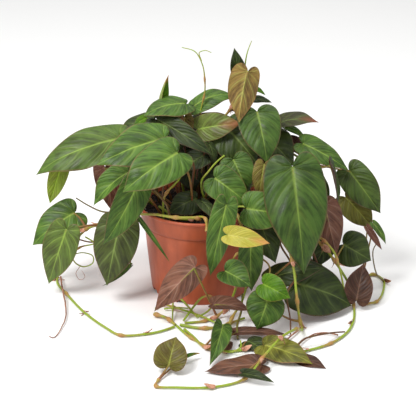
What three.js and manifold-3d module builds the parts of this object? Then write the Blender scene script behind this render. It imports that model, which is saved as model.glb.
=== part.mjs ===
// A trailing velvet-leaf philodendron in a 12 cm terracotta-coloured plastic nursery pot.
// Millimetres, +Z up, origin at the middle of the pot's underside, -Y is the side that faces
// the viewer. Each leaf is one solid, blade and petiole together; each stem is one solid.
import * as THREE from 'three';
import { mergeVertices } from 'three/addons/utils/BufferGeometryUtils.js';
import Module from 'manifold-3d';

const wasm = await Module();
wasm.setup();

// ---- driving dimensions -------------------------------------------------------------------
const GAP = 0.3; // between touching pieces
const RIM_RADIUS = 60;
const POT = {
  height: 88,
  rimRadius: RIM_RADIUS,
  lip: 2.2, // radial width of the rolled top edge
  lipDepth: 3,
  collarHeight: 20, // the flared band under the rim
  collarRadius: 0.91 * RIM_RADIUS, // at the collar's lower edge
  bodyRadius: 0.883 * RIM_RADIUS, // just under the collar
  baseRadius: 0.772 * RIM_RADIUS,
  edge: 1.5, // rounding of the lower edge
  wall: 1.5,
  facets: 48,
  drainHoles: 6,
  drainHoleRadius: 4,
  drainRingRadius: 28,
  notches: 8, // cut-outs along the lower edge that let water out
  notchWidth: 9,
  notchHeight: 3.5,
};
const SOIL = { belowRim: 9, crown: 2 };
const STEM = { radius: 1.5, sides: 5, stepLength: 8 };
const PETIOLE = { radius: 1, sides: 4, steps: 4 };
const LEAF = {
  thickness: 0.9,
  lobe: 0.13, // how far the two back lobes reach behind the petiole, as a share of the length
  rows: [0, 0.15, 0.38, 0.62, 0.85, 1],
  columns: [-1, -0.45, 0, 0.45, 1],
};

// The plant is drawn round a pot of this size. seat() carries each drawn point to the real pot:
// stretched in height below the rim, lifted above it, and spread in plan as the rim is.
const DRAWN = { height: 88, rimRadius: 60 };
const SPREAD = POT.rimRadius / DRAWN.rimRadius;

// ---- colours ------------------------------------------------------------------------------
const finish = (color, roughness) =>
  new THREE.MeshStandardMaterial({ color, roughness, metalness: 0 });
const FINISH = {
  pot: finish(0xb9573e, 0.45),
  soil: finish(0x1c1512, 0.95),
  stem: finish(0x93a23c, 0.5),
  green: finish(0x4f7a43, 0.55),
  lime: finish(0x7c9c28, 0.5),
  dark: finish(0x3b4c2b, 0.55),
  olive: finish(0x6c6d24, 0.55),
  brown: finish(0x6a4436, 0.6),
  yellow: finish(0xccc060, 0.5),
};

// ---- solids -------------------------------------------------------------------------------
// A closed geometry with its shared points merged, as a manifold-3d solid.
function solid(geometry) {
  const bare = geometry.index ? geometry.toNonIndexed() : geometry.clone();
  for (const name of Object.keys(bare.attributes)) {
    if (name !== 'position') bare.deleteAttribute(name);
  }
  const merged = mergeVertices(bare, 1e-4);
  const index = merged.index.array;
  const kept = [];
  for (let i = 0; i < index.length; i += 3) {
    const [a, b, c] = [index[i], index[i + 1], index[i + 2]];
    if (a !== b && b !== c && c !== a) kept.push(a, b, c);
  }
  return new wasm.Manifold(
    new wasm.Mesh({
      numProp: 3,
      vertProperties: merged.attributes.position.array,
      triVerts: new Uint32Array(kept),
    }),
  );
}

// A manifold-3d solid back as a three.js geometry.
function geometryOf(body) {
  const mesh = body.getMesh();
  const geometry = new THREE.BufferGeometry();
  geometry.setAttribute('position', new THREE.BufferAttribute(mesh.vertProperties, 3));
  geometry.setIndex(new THREE.BufferAttribute(mesh.triVerts, 1));
  geometry.computeVertexNormals();
  return geometry;
}

const turnUp = (geometry) => geometry.rotateX(Math.PI / 2);
const lathe = (profile, segments) =>
  turnUp(new THREE.LatheGeometry(profile.map(([r, z]) => new THREE.Vector2(r, z)), segments));

// ---- pot and soil -------------------------------------------------------------------------
const bodyTop = POT.height - POT.collarHeight;

// Radius of the pot's outer wall at height z.
function outerRadius(z) {
  if (z < bodyTop) {
    return THREE.MathUtils.lerp(POT.baseRadius, POT.bodyRadius, z / bodyTop);
  }
  const up = (z - bodyTop) / (POT.height - bodyTop);
  return THREE.MathUtils.lerp(POT.collarRadius, POT.rimRadius - POT.lip / 2, up);
}

const innerRadius = (z) => outerRadius(z) - POT.wall;

function makePot() {
  const { height, rimRadius, lip, lipDepth, collarRadius, bodyRadius, baseRadius, edge, wall } = POT;
  const under = height - lipDepth;
  const profile = [
    [0, 0],
    [baseRadius - edge, 0],
    [baseRadius, edge],
    [bodyRadius, bodyTop - 1],
    [bodyRadius - wall / 3, bodyTop],
    [collarRadius, bodyTop + 1.2],
    [outerRadius(under), under],
    [rimRadius - 0.3, under + 0.7],
    [rimRadius, height - 1],
    [rimRadius - 0.8, height],
    [rimRadius - lip, height],
    [innerRadius(under), under],
    [innerRadius(bodyTop + 1.2), bodyTop + 1.2],
    [bodyRadius - wall * 1.4, bodyTop - 1],
    [innerRadius(wall), wall],
    [0, wall],
  ];
  let body = solid(lathe(profile, POT.facets));
  for (let i = 0; i < POT.drainHoles; i += 1) {
    const angle = (i * 2 * Math.PI) / POT.drainHoles;
    const hole = turnUp(new THREE.CylinderGeometry(POT.drainHoleRadius, POT.drainHoleRadius, 4 * wall, 12));
    hole.translate(POT.drainRingRadius * Math.cos(angle), POT.drainRingRadius * Math.sin(angle), 0);
    body = body.subtract(solid(hole));
  }
  for (let i = 0; i < POT.notches; i += 1) {
    const cut = new THREE.BoxGeometry(6 * wall, POT.notchWidth, 2 * POT.notchHeight);
    cut.translate(baseRadius, 0, 0);
    cut.rotateZ(((i + 0.5) * 2 * Math.PI) / POT.notches);
    body = body.subtract(solid(cut));
  }
  return geometryOf(body);
}

const soilTop = POT.height - SOIL.belowRim;
const soilFloor = POT.notchHeight + GAP;

function makeSoil() {
  const clear = 2 * GAP;
  const shoulder = bodyTop + 1.2;
  return lathe(
    [
      [0, soilFloor],
      [innerRadius(soilFloor) - clear, soilFloor],
      [POT.bodyRadius - POT.wall * 1.4 - clear, bodyTop - 1 - clear],
      [innerRadius(shoulder) - clear, shoulder + clear],
      [innerRadius(soilTop) - clear, soilTop],
      [0.6 * POT.rimRadius, soilTop + SOIL.crown],
      [0, soilTop + SOIL.crown],
    ],
    POT.facets,
  );
}

// ---- where the plant's points lie ----------------------------------------------------------
function seat([x, y, z]) {
  const lifted =
    z < DRAWN.height ? (z * POT.height) / DRAWN.height : z + POT.height - DRAWN.height;
  return new THREE.Vector3(x * SPREAD, y * SPREAD, lifted);
}

// The point just above the soil where something planted at x, y comes out.
function planted([x, y]) {
  const point = seat([x, y, 0]);
  return point.setZ(soilTop + SOIL.crown + GAP);
}

// ---- stems --------------------------------------------------------------------------------
// Each stem's route is a list of points: x, y and the height of the stem's underside. A route's
// first point has no height where it comes out of the soil. Leaves grow from these points.
const STEMS = {
  stem_left: [
    [-44, -2], [-50, -12, 89], [-57, -18, 90], [-66, -24, 80], [-79, -25, 74],
    [-94, -20, 68], [-106, -12, 60], [-118, 0, 42], [-130, 9, 19], [-137, 8, 1],
    [-136, -4, 0], [-126, -25, 0], [-106, -63, 0], [-85, -92, 0], [-70, -107, 0],
    [-49, -105, 0], [-36, -100, 0], [-23, -91, 0],
  ],
  stem_front_left: [
    [-38, -8], [-32, -24, 84], [-24, -40, 84], [-10, -46, 85], [0, -52, 90],
    [5, -60, 91], [6, -66, 82],
  ],
  stem_front: [
    [20, -30], [29, -44, 90], [33, -51, 91], [37, -61, 82], [38, -66, 60],
    [34, -67, 34], [26, -70, 12], [15, -73, 1], [4, -80, 0], [-14, -84, 0],
  ],
  stem_front_low: [
    [-14, -96, 0], [-6, -110, 0], [4, -128, 0], [20, -136, 0], [36, -134, 0],
    [52, -126, 0], [68, -124, 0],
  ],
  stem_front_right: [
    [34, -18], [44, -30, 90], [52, -38, 91], [70, -46, 82], [82, -70, 55],
    [86, -92, 26], [89, -92, 6], [91, -95, 0], [84, -118, 12], [70, -142, 17],
    [52, -167, 10], [38, -184, 1], [13, -196, 0], [-20, -197, 0], [-36, -195, 0],
    [-34, -184, 0],
  ],
  stem_right: [
    [42, 2], [52, -3, 90], [60, -8, 91], [72, -14, 84], [92, -22, 69],
    [112, -30, 52], [123, -38, 40], [137, -42, 17], [141, -50, 1], [138, -80, 0],
    [130, -102, 0], [114, -122, 0], [94, -134, 0], [84, -138, 0],
  ],
  stem_far_right: [
    [38, 18], [49, 22, 90], [59, 22, 91], [84, 14, 78], [106, 0, 42],
    [118, -12, 12], [131, -18, 0], [154, 2, 0], [166, 16, 0], [174, 5, 0],
    [173, -14, 0], [163, -42, 0], [153, -46, 0],
  ],
  stem_crown: [[2, 12], [4, 22, 110], [12, 38, 138], [28, 44, 158], [42, 40, 178]],
  stem_crown_left: [[-14, 6], [-19, 10, 108], [-24, 12, 132], [-21, 14, 154]],
  stem_crown_right: [[22, 6], [36, 10, 104], [54, 14, 120], [78, 22, 125], [100, 24, 112]],
};

function routeOf(points) {
  const path = points.map((point) => {
    if (point.length === 2) return planted(point).add(new THREE.Vector3(0, 0, STEM.radius));
    const [x, y, z] = point;
    return seat([x, y, z]).add(new THREE.Vector3(0, 0, STEM.radius + GAP));
  });
  return new THREE.CatmullRomCurve3(path, false, 'centripetal');
}

const ROUTES = Object.fromEntries(
  Object.entries(STEMS).map(([name, points]) => [name, routeOf(points)]),
);

// A round bar of the given radius along a curve, no lower than the floor.
function bar(curve, radius, sides, steps) {
  const section = new THREE.Shape(
    Array.from({ length: sides }, (_, i) => {
      const angle = (i * 2 * Math.PI) / sides;
      return new THREE.Vector2(radius * Math.cos(angle), radius * Math.sin(angle));
    }),
  );
  const points = curve.getPoints(steps);
  for (const point of points) point.z = Math.max(point.z, radius + GAP);
  const smooth = new THREE.CatmullRomCurve3(points, false, 'centripetal');
  const geometry = new THREE.ExtrudeGeometry(section, {
    steps,
    bevelEnabled: false,
    extrudePath: smooth,
  });
  const { position } = geometry.attributes;
  for (let i = 0; i < position.count; i += 1) position.setZ(i, Math.max(position.getZ(i), 0));
  return geometry;
}

const makeStem = (name) => {
  const curve = ROUTES[name];
  const steps = Math.round(curve.getLength() / STEM.stepLength);
  return bar(curve, STEM.radius, STEM.sides, steps);
};

// ---- leaves -------------------------------------------------------------------------------
// Half the blade's width from its petiole (0) to its tip (1), as a share of its widest half.
const OUTLINE = new THREE.SplineCurve(
  [
    [0, 0.82], [0.12, 0.98], [0.25, 1], [0.4, 0.92], [0.55, 0.75],
    [0.7, 0.52], [0.82, 0.3], [0.92, 0.12], [1, 0.03],
  ].map(([along, half]) => new THREE.Vector2(along, half)),
);
const OUTLINE_TABLE = OUTLINE.getPoints(80);

function halfWidth(along) {
  const after = OUTLINE_TABLE.findIndex((point) => point.x >= along);
  if (after < 1) return OUTLINE_TABLE[0].y;
  const [p, q] = [OUTLINE_TABLE[after - 1], OUTLINE_TABLE[after]];
  return THREE.MathUtils.lerp(p.y, q.y, (along - p.x) / (q.x - p.x));
}

// The unit vector that points at a bearing in plan (0 is +X, 90 is +Y) and a rise, in degrees.
function aim([bearing, rise]) {
  const [b, r] = [bearing, rise].map(THREE.MathUtils.degToRad);
  return new THREE.Vector3(Math.cos(r) * Math.cos(b), Math.cos(r) * Math.sin(b), Math.sin(r));
}

// A point of a blade's middle surface: along runs from petiole to tip, across from -1 to 1.
function bladePoint(leaf, along, across) {
  const base = seat(leaf.base);
  const axis = seat(leaf.tip).sub(base);
  const length = axis.length();
  axis.normalize();
  const face = aim(leaf.faces).addScaledVector(axis, -aim(leaf.faces).dot(axis)).normalize();
  const side = new THREE.Vector3().crossVectors(axis, face);
  const half = SPREAD * (leaf.width / 2) * halfWidth(along);
  const back = LEAF.lobe * length * (1 - along) ** 2 * Math.sin(0.9 * Math.PI * Math.abs(across) ** 0.75);
  const arch = SPREAD * leaf.arch * 4 * along * (1 - along);
  const cup = SPREAD * leaf.cup * Math.abs(across) ** 1.5 * halfWidth(along);
  return base
    .addScaledVector(axis, along * length - back)
    .addScaledVector(side, across * half)
    .addScaledVector(face, arch + cup);
}

function makeBlade(leaf) {
  const { rows, columns, thickness } = LEAF;
  const face = aim(leaf.faces);
  const axis = seat(leaf.tip).sub(seat(leaf.base)).normalize();
  face.addScaledVector(axis, -face.dot(axis)).normalize();
  const layer = (offset) =>
    rows.map((along) =>
      columns.map((across) => bladePoint(leaf, along, across).addScaledVector(face, offset)),
    );
  const top = layer(thickness / 2);
  const under = layer(-thickness / 2);
  const corners = [];
  const quad = (a, b, c, d) => corners.push(a, b, c, a, c, d);
  const [lastRow, lastColumn] = [rows.length - 1, columns.length - 1];
  for (let i = 0; i < lastRow; i += 1) {
    for (let j = 0; j < lastColumn; j += 1) {
      quad(top[i][j], top[i][j + 1], top[i + 1][j + 1], top[i + 1][j]);
      quad(under[i][j], under[i + 1][j], under[i + 1][j + 1], under[i][j + 1]);
    }
    quad(top[i][0], top[i + 1][0], under[i + 1][0], under[i][0]);
    quad(top[i][lastColumn], under[i][lastColumn], under[i + 1][lastColumn], top[i + 1][lastColumn]);
  }
  for (let j = 0; j < lastColumn; j += 1) {
    quad(top[0][j], under[0][j], under[0][j + 1], top[0][j + 1]);
    quad(top[lastRow][j], top[lastRow][j + 1], under[lastRow][j + 1], under[lastRow][j]);
  }
  const geometry = new THREE.BufferGeometry().setFromPoints(corners);
  return solid(geometry);
}

// Where a leaf's petiole leaves the soil, or its stem on the side towards a point.
function petioleStart(leaf, aimedAt) {
  if (leaf.planted) return planted(leaf.planted).add(new THREE.Vector3(0, 0, PETIOLE.radius));
  const [stem, index] = leaf.on;
  const node = ROUTES[stem].points[index].clone();
  const towards = aimedAt.clone().sub(node).normalize();
  return node.addScaledVector(towards, STEM.radius + PETIOLE.radius + GAP);
}

function makeLeaf(leaf) {
  const base = bladePoint(leaf, 0.03, 0);
  const bow = new THREE.Vector3(...(leaf.bow ?? [0, 0, 0]));
  const straight = petioleStart(leaf, base);
  const middle = straight.clone().lerp(base, 0.5).add(bow);
  const start = petioleStart(leaf, middle);
  const petiole = bar(
    new THREE.QuadraticBezierCurve3(start, middle, base),
    PETIOLE.radius,
    PETIOLE.sides,
    PETIOLE.steps,
  );
  return geometryOf(makeBlade(leaf).add(solid(petiole)));
}

// Every leaf: where the petiole leaves its stem (on) or the soil (planted), the points where
// the blade begins and ends, the way its upper face looks (bearing, rise), its greatest width,
// how far its midrib arches up, how far its margins cup up, and which way its petiole bows.
const LEAVES = {
  // left side, above the pot
  leaf_left_broad: {
    on: ['stem_crown_left', 2], base: [-74, 15, 142], tip: [-152, -2, 114],
    faces: [-100, 55], width: 44, arch: 8, cup: -2, bow: [0, 6, 4], color: 'green',
  },
  leaf_left_upper: {
    on: ['stem_crown_left', 2], base: [-32, -15, 153], tip: [-92, -38, 136],
    faces: [-95, 50], width: 44, arch: 6, cup: -2, bow: [0, -4, -4], color: 'green',
  },
  leaf_left_front: {
    planted: [-8, -26], base: [-20, -40, 149], tip: [-68, -66, 122],
    faces: [-80, 45], width: 42, arch: 7, cup: -2, bow: [10, 4, 12], color: 'green',
  },
  leaf_left_lime: {
    on: ['stem_crown_left', 1], base: [-129, 16, 116], tip: [-142, 12, 77],
    faces: [-90, 10], width: 18, arch: 3, cup: 2, bow: [0, 4, 6], color: 'lime',
  },
  leaf_left_behind: {
    planted: [-30, 6], base: [-90, 30, 108], tip: [-84, 24, 64],
    faces: [90, 10], width: 26, arch: 4, cup: 2, bow: [0, 6, 6], color: 'brown',
  },
  leaf_left_folded: {
    planted: [-26, -12], base: [-66, -14, 120], tip: [-98, -22, 90],
    faces: [-130, 40], width: 24, arch: 4, cup: 6, bow: [-6, 4, 8], color: 'green',
  },
  leaf_left_hanging: {
    planted: [-36, -24], base: [-55, -44, 122], tip: [-87, -62, 68],
    faces: [-70, 25], width: 30, arch: 6, cup: 2, bow: [-4, 0, 10], color: 'dark',
  },
  leaf_left_heart: {
    on: ['stem_left', 3], base: [-73, -38, 80], tip: [-86, -46, 20],
    faces: [-95, 12], width: 40, arch: 5, cup: -1, color: 'dark',
  },
  leaf_left_outer: {
    on: ['stem_left', 6], base: [-118, 4, 72], tip: [-158, -8, 44],
    faces: [-100, 40], width: 38, arch: 5, cup: -1, bow: [0, 4, 4], color: 'green',
  },
  leaf_left_low: {
    on: ['stem_left', 5], base: [-123, -28, 69], tip: [-142, -24, 11],
    faces: [-100, 12], width: 32, arch: 4, cup: 1, bow: [0, -4, 4], color: 'olive',
  },
  // top of the crown
  leaf_top_rolled: {
    on: ['stem_crown_left', 2], base: [-38, 37, 169], tip: [-29, 37, 196],
    faces: [-40, 0], width: 13, arch: -2, cup: 5, bow: [-8, 8, 6], color: 'olive',
  },
  leaf_top_left: {
    on: ['stem_crown_left', 3], base: [-14, 27, 172], tip: [-52, 8, 166],
    faces: [-95, 72], width: 32, arch: 4, cup: -2, bow: [4, 2, 0], color: 'green',
  },
  leaf_top_arched: {
    on: ['stem_crown', 2], base: [-6, 46, 163], tip: [34, 50, 171],
    faces: [-90, 65], width: 24, arch: 7, cup: -2, color: 'green',
  },
  leaf_top_tall: {
    on: ['stem_crown', 4], base: [43, 28, 202], tip: [35, 0, 162],
    faces: [95, 25], width: 30, arch: 3, cup: 2, color: 'olive',
  },
  leaf_top_spike: {
    on: ['stem_crown', 4], base: [36, 42, 194], tip: [31, 40, 221],
    faces: [-90, 5], width: 14, arch: 2, cup: 2, bow: [0, 4, 0], color: 'dark',
  },
  leaf_top_heart: {
    on: ['stem_crown', 3], base: [52, 16, 168], tip: [61, -16, 128],
    faces: [-85, 35], width: 40, arch: 6, cup: -2, bow: [0, 0, 5], color: 'green',
  },
  leaf_top_pale: {
    on: ['stem_crown', 1], base: [-3, 22, 148], tip: [38, 14, 157],
    faces: [-95, 25], width: 26, arch: 4, cup: 1, bow: [-6, -4, 0], color: 'lime',
  },
  leaf_top_long: {
    on: ['stem_crown_left', 3], base: [-40, 14, 161], tip: [12, -12, 135],
    faces: [-120, 45], width: 22, arch: 4, cup: 2, bow: [-8, 14, 4], color: 'dark',
  },
  leaf_top_far_right: {
    on: ['stem_crown', 3], base: [72, 34, 150], tip: [110, 28, 153],
    faces: [-90, 72], width: 24, arch: 4, cup: 1, color: 'dark',
  },
  // middle of the crown
  leaf_centre_broad: {
    planted: [18, 15], base: [24, 22, 150], tip: [53, 8, 119],
    faces: [-100, 40], width: 46, arch: 5, cup: -1, bow: [2, 0, 0], color: 'dark',
  },
  leaf_centre_small: {
    planted: [16, -8], base: [30, -16, 133], tip: [44, -26, 103],
    faces: [-90, 30], width: 30, arch: 4, cup: -1, bow: [0, 4, 8], color: 'green',
  },
  leaf_centre_left: {
    planted: [4, -20], base: [13, -34, 122], tip: [45, -41, 98],
    faces: [-100, 35], width: 32, arch: 4, cup: -1, bow: [-6, 2, 8], color: 'green',
  },
  leaf_centre_right: {
    planted: [28, -18], base: [41, -59, 103], tip: [80, -60, 98],
    faces: [-90, 25], width: 35, arch: 4, cup: -1, bow: [0, 6, 6], color: 'green',
  },
  leaf_centre_lime: {
    planted: [38, -8], base: [57, -38, 137], tip: [52, -44, 108],
    faces: [-90, 15], width: 18, arch: 3, cup: 1, bow: [0, 6, 4], color: 'lime',
  },
  leaf_right_upper: {
    on: ['stem_crown_right', 2], base: [58, 30, 139], tip: [87, 8, 117],
    faces: [-80, 40], width: 38, arch: 5, cup: -1, color: 'dark',
  },
  leaf_right_great: {
    planted: [44, -12], base: [82, -44, 137], tip: [92, -84, 50],
    faces: [-88, 28], width: 60, arch: 10, cup: -3, bow: [6, 4, 4], color: 'green',
  },
  // in front of the pot
  leaf_front_brown: {
    on: ['stem_front', 7], base: [-4, -80, 56], tip: [-41, -84, 14],
    faces: [90, -15], width: 28, arch: 4, cup: 2, color: 'brown',
  },
  leaf_front_bright: {
    on: ['stem_front_left', 6], base: [23, -68, 110], tip: [9, -73, 42],
    faces: [-90, 10], width: 27, arch: 5, cup: 1, bow: [3, -2, 2], color: 'green',
  },
  leaf_front_yellow: {
    on: ['stem_front', 3], base: [24, -87, 90], tip: [61, -92, 84],
    faces: [-90, 30], width: 23, arch: 3, cup: 2, bow: [7, -2, 0], color: 'yellow',
  },
  leaf_front_hanging: {
    on: ['stem_front', 3], base: [45, -70, 75], tip: [46, -74, 28],
    faces: [-90, 5], width: 22, arch: 4, cup: 2, bow: [8, 2, -2], color: 'green',
  },
  leaf_front_dark: {
    on: ['stem_front_right', 2], base: [50, -46, 95], tip: [68, -61, 50],
    faces: [-80, 12], width: 32, arch: 4, cup: -1, color: 'dark',
  },
  leaf_front_folded: {
    on: ['stem_front', 5], base: [22, -84, 54], tip: [45, -96, 44],
    faces: [-90, 50], width: 26, arch: 2, cup: 5, color: 'green',
  },
  leaf_front_tucked: {
    on: ['stem_front', 6], base: [12, -86, 22], tip: [46, -90, 17],
    faces: [90, 20], width: 18, arch: 3, cup: 2, color: 'brown',
  },
  leaf_front_lime: {
    on: ['stem_front', 4], base: [55, -94, 46], tip: [79, -106, 38],
    faces: [-90, 30], width: 24, arch: 3, cup: 1, bow: [26, 4, 8], color: 'lime',
  },
  leaf_front_low: {
    on: ['stem_front_right', 6], base: [60, -98, 34], tip: [50, -108, 8],
    faces: [-90, 15], width: 34, arch: 3, cup: -1, bow: [-4, -3, -8], color: 'green',
  },
  // lying on the floor in front
  leaf_floor_narrow: {
    on: ['stem_front_low', 2], base: [20, -112, 14], tip: [9, -162, 3],
    faces: [-20, 60], width: 18, arch: 4, cup: 3, color: 'green',
  },
  leaf_floor_brown: {
    on: ['stem_front_right', 10], base: [49, -162, 4], tip: [6, -172, 2.5],
    faces: [-90, 78], width: 22, arch: 2, cup: 0, color: 'brown',
  },
  leaf_floor_olive: {
    on: ['stem_front_low', 5], base: [56, -134, 7], tip: [96, -160, 3],
    faces: [-110, 72], width: 30, arch: 3, cup: 0, color: 'olive',
  },
  leaf_floor_heart: {
    on: ['stem_front_right', 15], base: [-26, -172, 8], tip: [-20, -150, 24],
    faces: [-95, 40], width: 28, arch: 3, cup: 2, color: 'olive',
  },
  // right side
  leaf_right_slim: {
    on: ['stem_crown_right', 3], base: [95, 20, 135], tip: [138, 6, 113],
    faces: [-95, 50], width: 24, arch: 3, cup: 0, color: 'green',
  },
  leaf_right_edge: {
    on: ['stem_crown_right', 4], base: [101, -12, 124], tip: [118, -26, 88],
    faces: [-20, 20], width: 22, arch: 3, cup: 2, color: 'dark',
  },
  leaf_right_thin: {
    on: ['stem_crown_right', 4], base: [119, -10, 126], tip: [125, -18, 76],
    faces: [-5, 10], width: 22, arch: 3, cup: 2, bow: [0, 0, -6], color: 'dark',
  },
  leaf_right_outer: {
    on: ['stem_crown_right', 4], base: [139, 20, 108], tip: [169, 6, 70],
    faces: [-105, 30], width: 36, arch: 4, cup: 1, color: 'olive',
  },
  leaf_right_olive: {
    on: ['stem_far_right', 4], base: [137, 22, 80], tip: [163, 12, 52],
    faces: [-95, 25], width: 28, arch: 3, cup: 1, color: 'olive',
  },
  leaf_right_brown: {
    on: ['stem_right', 5], base: [112, -36, 98], tip: [124, -46, 50],
    faces: [85, 10], width: 26, arch: 3, cup: 2, color: 'brown',
  },
  leaf_right_round: {
    on: ['stem_right', 6], base: [132, -24, 52], tip: [158, -30, 38],
    faces: [-90, 25], width: 34, arch: 3, cup: 1, color: 'dark',
  },
  leaf_right_maroon: {
    on: ['stem_far_right', 12], base: [143, -54, 9], tip: [150, -36, 38],
    faces: [-95, 15], width: 26, arch: 2, cup: 2, color: 'brown',
  },
  leaf_right_low: {
    on: ['stem_front_right', 4], base: [87, -64, 32], tip: [139, -58, 6],
    faces: [-60, 38], width: 52, arch: 6, cup: -2, color: 'dark',
  },
};

// ---- the object ---------------------------------------------------------------------------
const root = new THREE.Group();

function add(name, geometry, material) {
  const mesh = new THREE.Mesh(geometry, material);
  mesh.name = name;
  root.add(mesh);
}

add('pot', makePot(), FINISH.pot);
add('soil', makeSoil(), FINISH.soil);
for (const name of Object.keys(STEMS)) add(name, makeStem(name), FINISH.stem);
for (const [name, leaf] of Object.entries(LEAVES)) add(name, makeLeaf(leaf), FINISH[leaf.color]);

export default root;
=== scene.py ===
"""Looks of a trailing velvet-leaf philodendron in its 12 cm nursery pot.

Everything is worked out in millimetres and turned to metres where a mesh is made. The plant's
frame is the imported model's: +Z up, the middle of the pot's underside at the origin, and -Y is
the side that faces the viewer. Each leaf is one piece, blade and petiole together. Stems, roots
and the grains of the potting mix come from Geometry Nodes.
"""

import logging
import math
from collections.abc import Iterable, Mapping, Sequence
from dataclasses import dataclass, field
from enum import Enum
from functools import partial

import bmesh
import bpy
import numpy as np
from mathutils import Matrix, Vector, noise


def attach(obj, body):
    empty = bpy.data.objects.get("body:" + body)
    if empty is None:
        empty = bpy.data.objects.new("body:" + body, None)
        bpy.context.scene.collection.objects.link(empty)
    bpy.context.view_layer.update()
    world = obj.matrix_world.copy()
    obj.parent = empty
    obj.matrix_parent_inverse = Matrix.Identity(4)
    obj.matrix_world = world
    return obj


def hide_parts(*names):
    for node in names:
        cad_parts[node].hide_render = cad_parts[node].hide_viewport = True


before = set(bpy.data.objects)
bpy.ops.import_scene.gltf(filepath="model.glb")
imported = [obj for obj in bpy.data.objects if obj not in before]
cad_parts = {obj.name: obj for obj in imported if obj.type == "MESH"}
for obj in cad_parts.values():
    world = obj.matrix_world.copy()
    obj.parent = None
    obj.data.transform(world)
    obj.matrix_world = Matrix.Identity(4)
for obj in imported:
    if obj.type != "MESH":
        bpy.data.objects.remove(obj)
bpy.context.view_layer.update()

LOG = logging.getLogger("philodendron")
logging.basicConfig(level=logging.INFO, format="%(name)s: %(message)s")

MM = 0.001
Point = tuple[float, float, float]
GAP = 0.3  # between touching solids
STEM_RADIUS = 1.5
INTERNODE_RADIUS = 1.2  # a stem is thinner between its nodes than its solid
PETIOLE_RADIUS = 1.0
LATERAL_VEINS = 5  # on each side of a blade


# ---- small tools ---------------------------------------------------------------------------
def linear(colour: str) -> tuple[float, float, float, float]:
    """Turn an sRGB hex colour to linear RGBA.

    Args:
        colour: Six hex digits after a #.

    Returns:
        Red, green and blue, linear, and 1 for alpha.
    """
    channels = [int(colour[i : i + 2], 16) / 255 for i in (1, 3, 5)]
    made = [c / 12.92 if c <= 0.04045 else ((c + 0.055) / 1.055) ** 2.4 for c in channels]
    return (*made, 1.0)


def fill(tree: bpy.types.NodeTree, node: bpy.types.Node, inputs: Mapping[str | int, object]) -> None:
    """Set or link some of a node's inputs.

    Args:
        tree: The node tree.
        node: The node.
        inputs: By the input's name or number: a value, an output socket, or a node, which
            stands for its first output in use.
    """
    for key, value in inputs.items():
        if isinstance(value, bpy.types.Node):
            value = next(output for output in value.outputs if output.enabled)
        if isinstance(value, bpy.types.NodeSocket):
            tree.links.new(value, node.inputs[key])
        else:
            node.inputs[key].default_value = value


def add_node(
    tree: bpy.types.NodeTree,
    kind: str,
    inputs: Mapping[str | int, object] | None = None,
    **settings: object,
) -> bpy.types.Node:
    """Add one node with its settings, and fill its inputs.

    Args:
        tree: The node tree that gets the node.
        kind: The node's type, such as ShaderNodeMath.
        inputs: What its inputs get, as for fill.
        **settings: The node's own properties.

    Returns:
        The new node.
    """
    made = tree.nodes.new(kind)
    for key, value in settings.items():
        setattr(made, key, value)
    fill(tree, made, inputs or {})
    return made


def new_material(name: str) -> tuple[bpy.types.Material, bpy.types.NodeTree, bpy.types.Node]:
    """Make an empty material with a Principled shader.

    Args:
        name: The material's name.

    Returns:
        The material, its node tree and the shader node.
    """
    material = bpy.data.materials.new(name)
    material.use_nodes = True
    tree = material.node_tree
    tree.nodes.clear()
    shader = tree.nodes.new("ShaderNodeBsdfPrincipled")
    output = tree.nodes.new("ShaderNodeOutputMaterial")
    tree.links.new(shader.outputs[0], output.inputs[0])
    return material, tree, shader


def per_mm(size: float) -> float:
    """Give the noise scale whose blobs are about a size in millimetres."""
    return 1 / (size * MM)


# ---- curves and meshes ---------------------------------------------------------------------
def smooth_route(points: Sequence[Point], step: float) -> tuple[np.ndarray, np.ndarray]:
    """Run a centripetal curve through points and sample it evenly.

    Args:
        points: The points in order, in millimetres.
        step: The distance between samples.

    Returns:
        The samples, and for each given point its distance along the curve.
    """
    given = np.array(points, float)
    ends = np.vstack([2 * given[0] - given[1], given, 2 * given[-1] - given[-2]])
    dense, marks = [given[0]], [0.0]
    travelled = 0.0
    for p0, p1, p2, p3 in zip(ends, ends[1:], ends[2:], ends[3:], strict=False):
        t1 = np.linalg.norm(p1 - p0) ** 0.5 + 1e-6
        t2 = t1 + np.linalg.norm(p2 - p1) ** 0.5 + 1e-6
        t3 = t2 + np.linalg.norm(p3 - p2) ** 0.5 + 1e-6
        for t in np.linspace(t1, t2, 17)[1:]:
            a1 = (t1 - t) / t1 * p0 + t / t1 * p1
            a2 = (t2 - t) / (t2 - t1) * p1 + (t - t1) / (t2 - t1) * p2
            a3 = (t3 - t) / (t3 - t2) * p2 + (t - t2) / (t3 - t2) * p3
            b1 = (t2 - t) / t2 * a1 + t / t2 * a2
            b2 = (t3 - t) / (t3 - t1) * a2 + (t - t1) / (t3 - t1) * a3
            point = (t2 - t) / (t2 - t1) * b1 + (t - t1) / (t2 - t1) * b2
            travelled += float(np.linalg.norm(point - dense[-1]))
            dense.append(point)
        marks.append(travelled)
    return evenly(np.array(dense), max(2, round(travelled / step))), np.array(marks)


def evenly(line: np.ndarray, pieces: int) -> np.ndarray:
    """Sample a polyline at even distances.

    Args:
        line: The polyline's points.
        pieces: The number of stretches between samples.

    Returns:
        The samples.
    """
    run = np.concatenate([[0], np.cumsum(np.linalg.norm(np.diff(line, axis=0), axis=1))])
    wanted = np.linspace(0, run[-1], pieces + 1)
    return np.stack([np.interp(wanted, run, line[:, k]) for k in range(line.shape[1])], axis=1)


def unit(vector: np.ndarray) -> np.ndarray:
    """Scale a vector to length 1."""
    return vector / max(float(np.linalg.norm(vector)), 1e-9)


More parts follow.
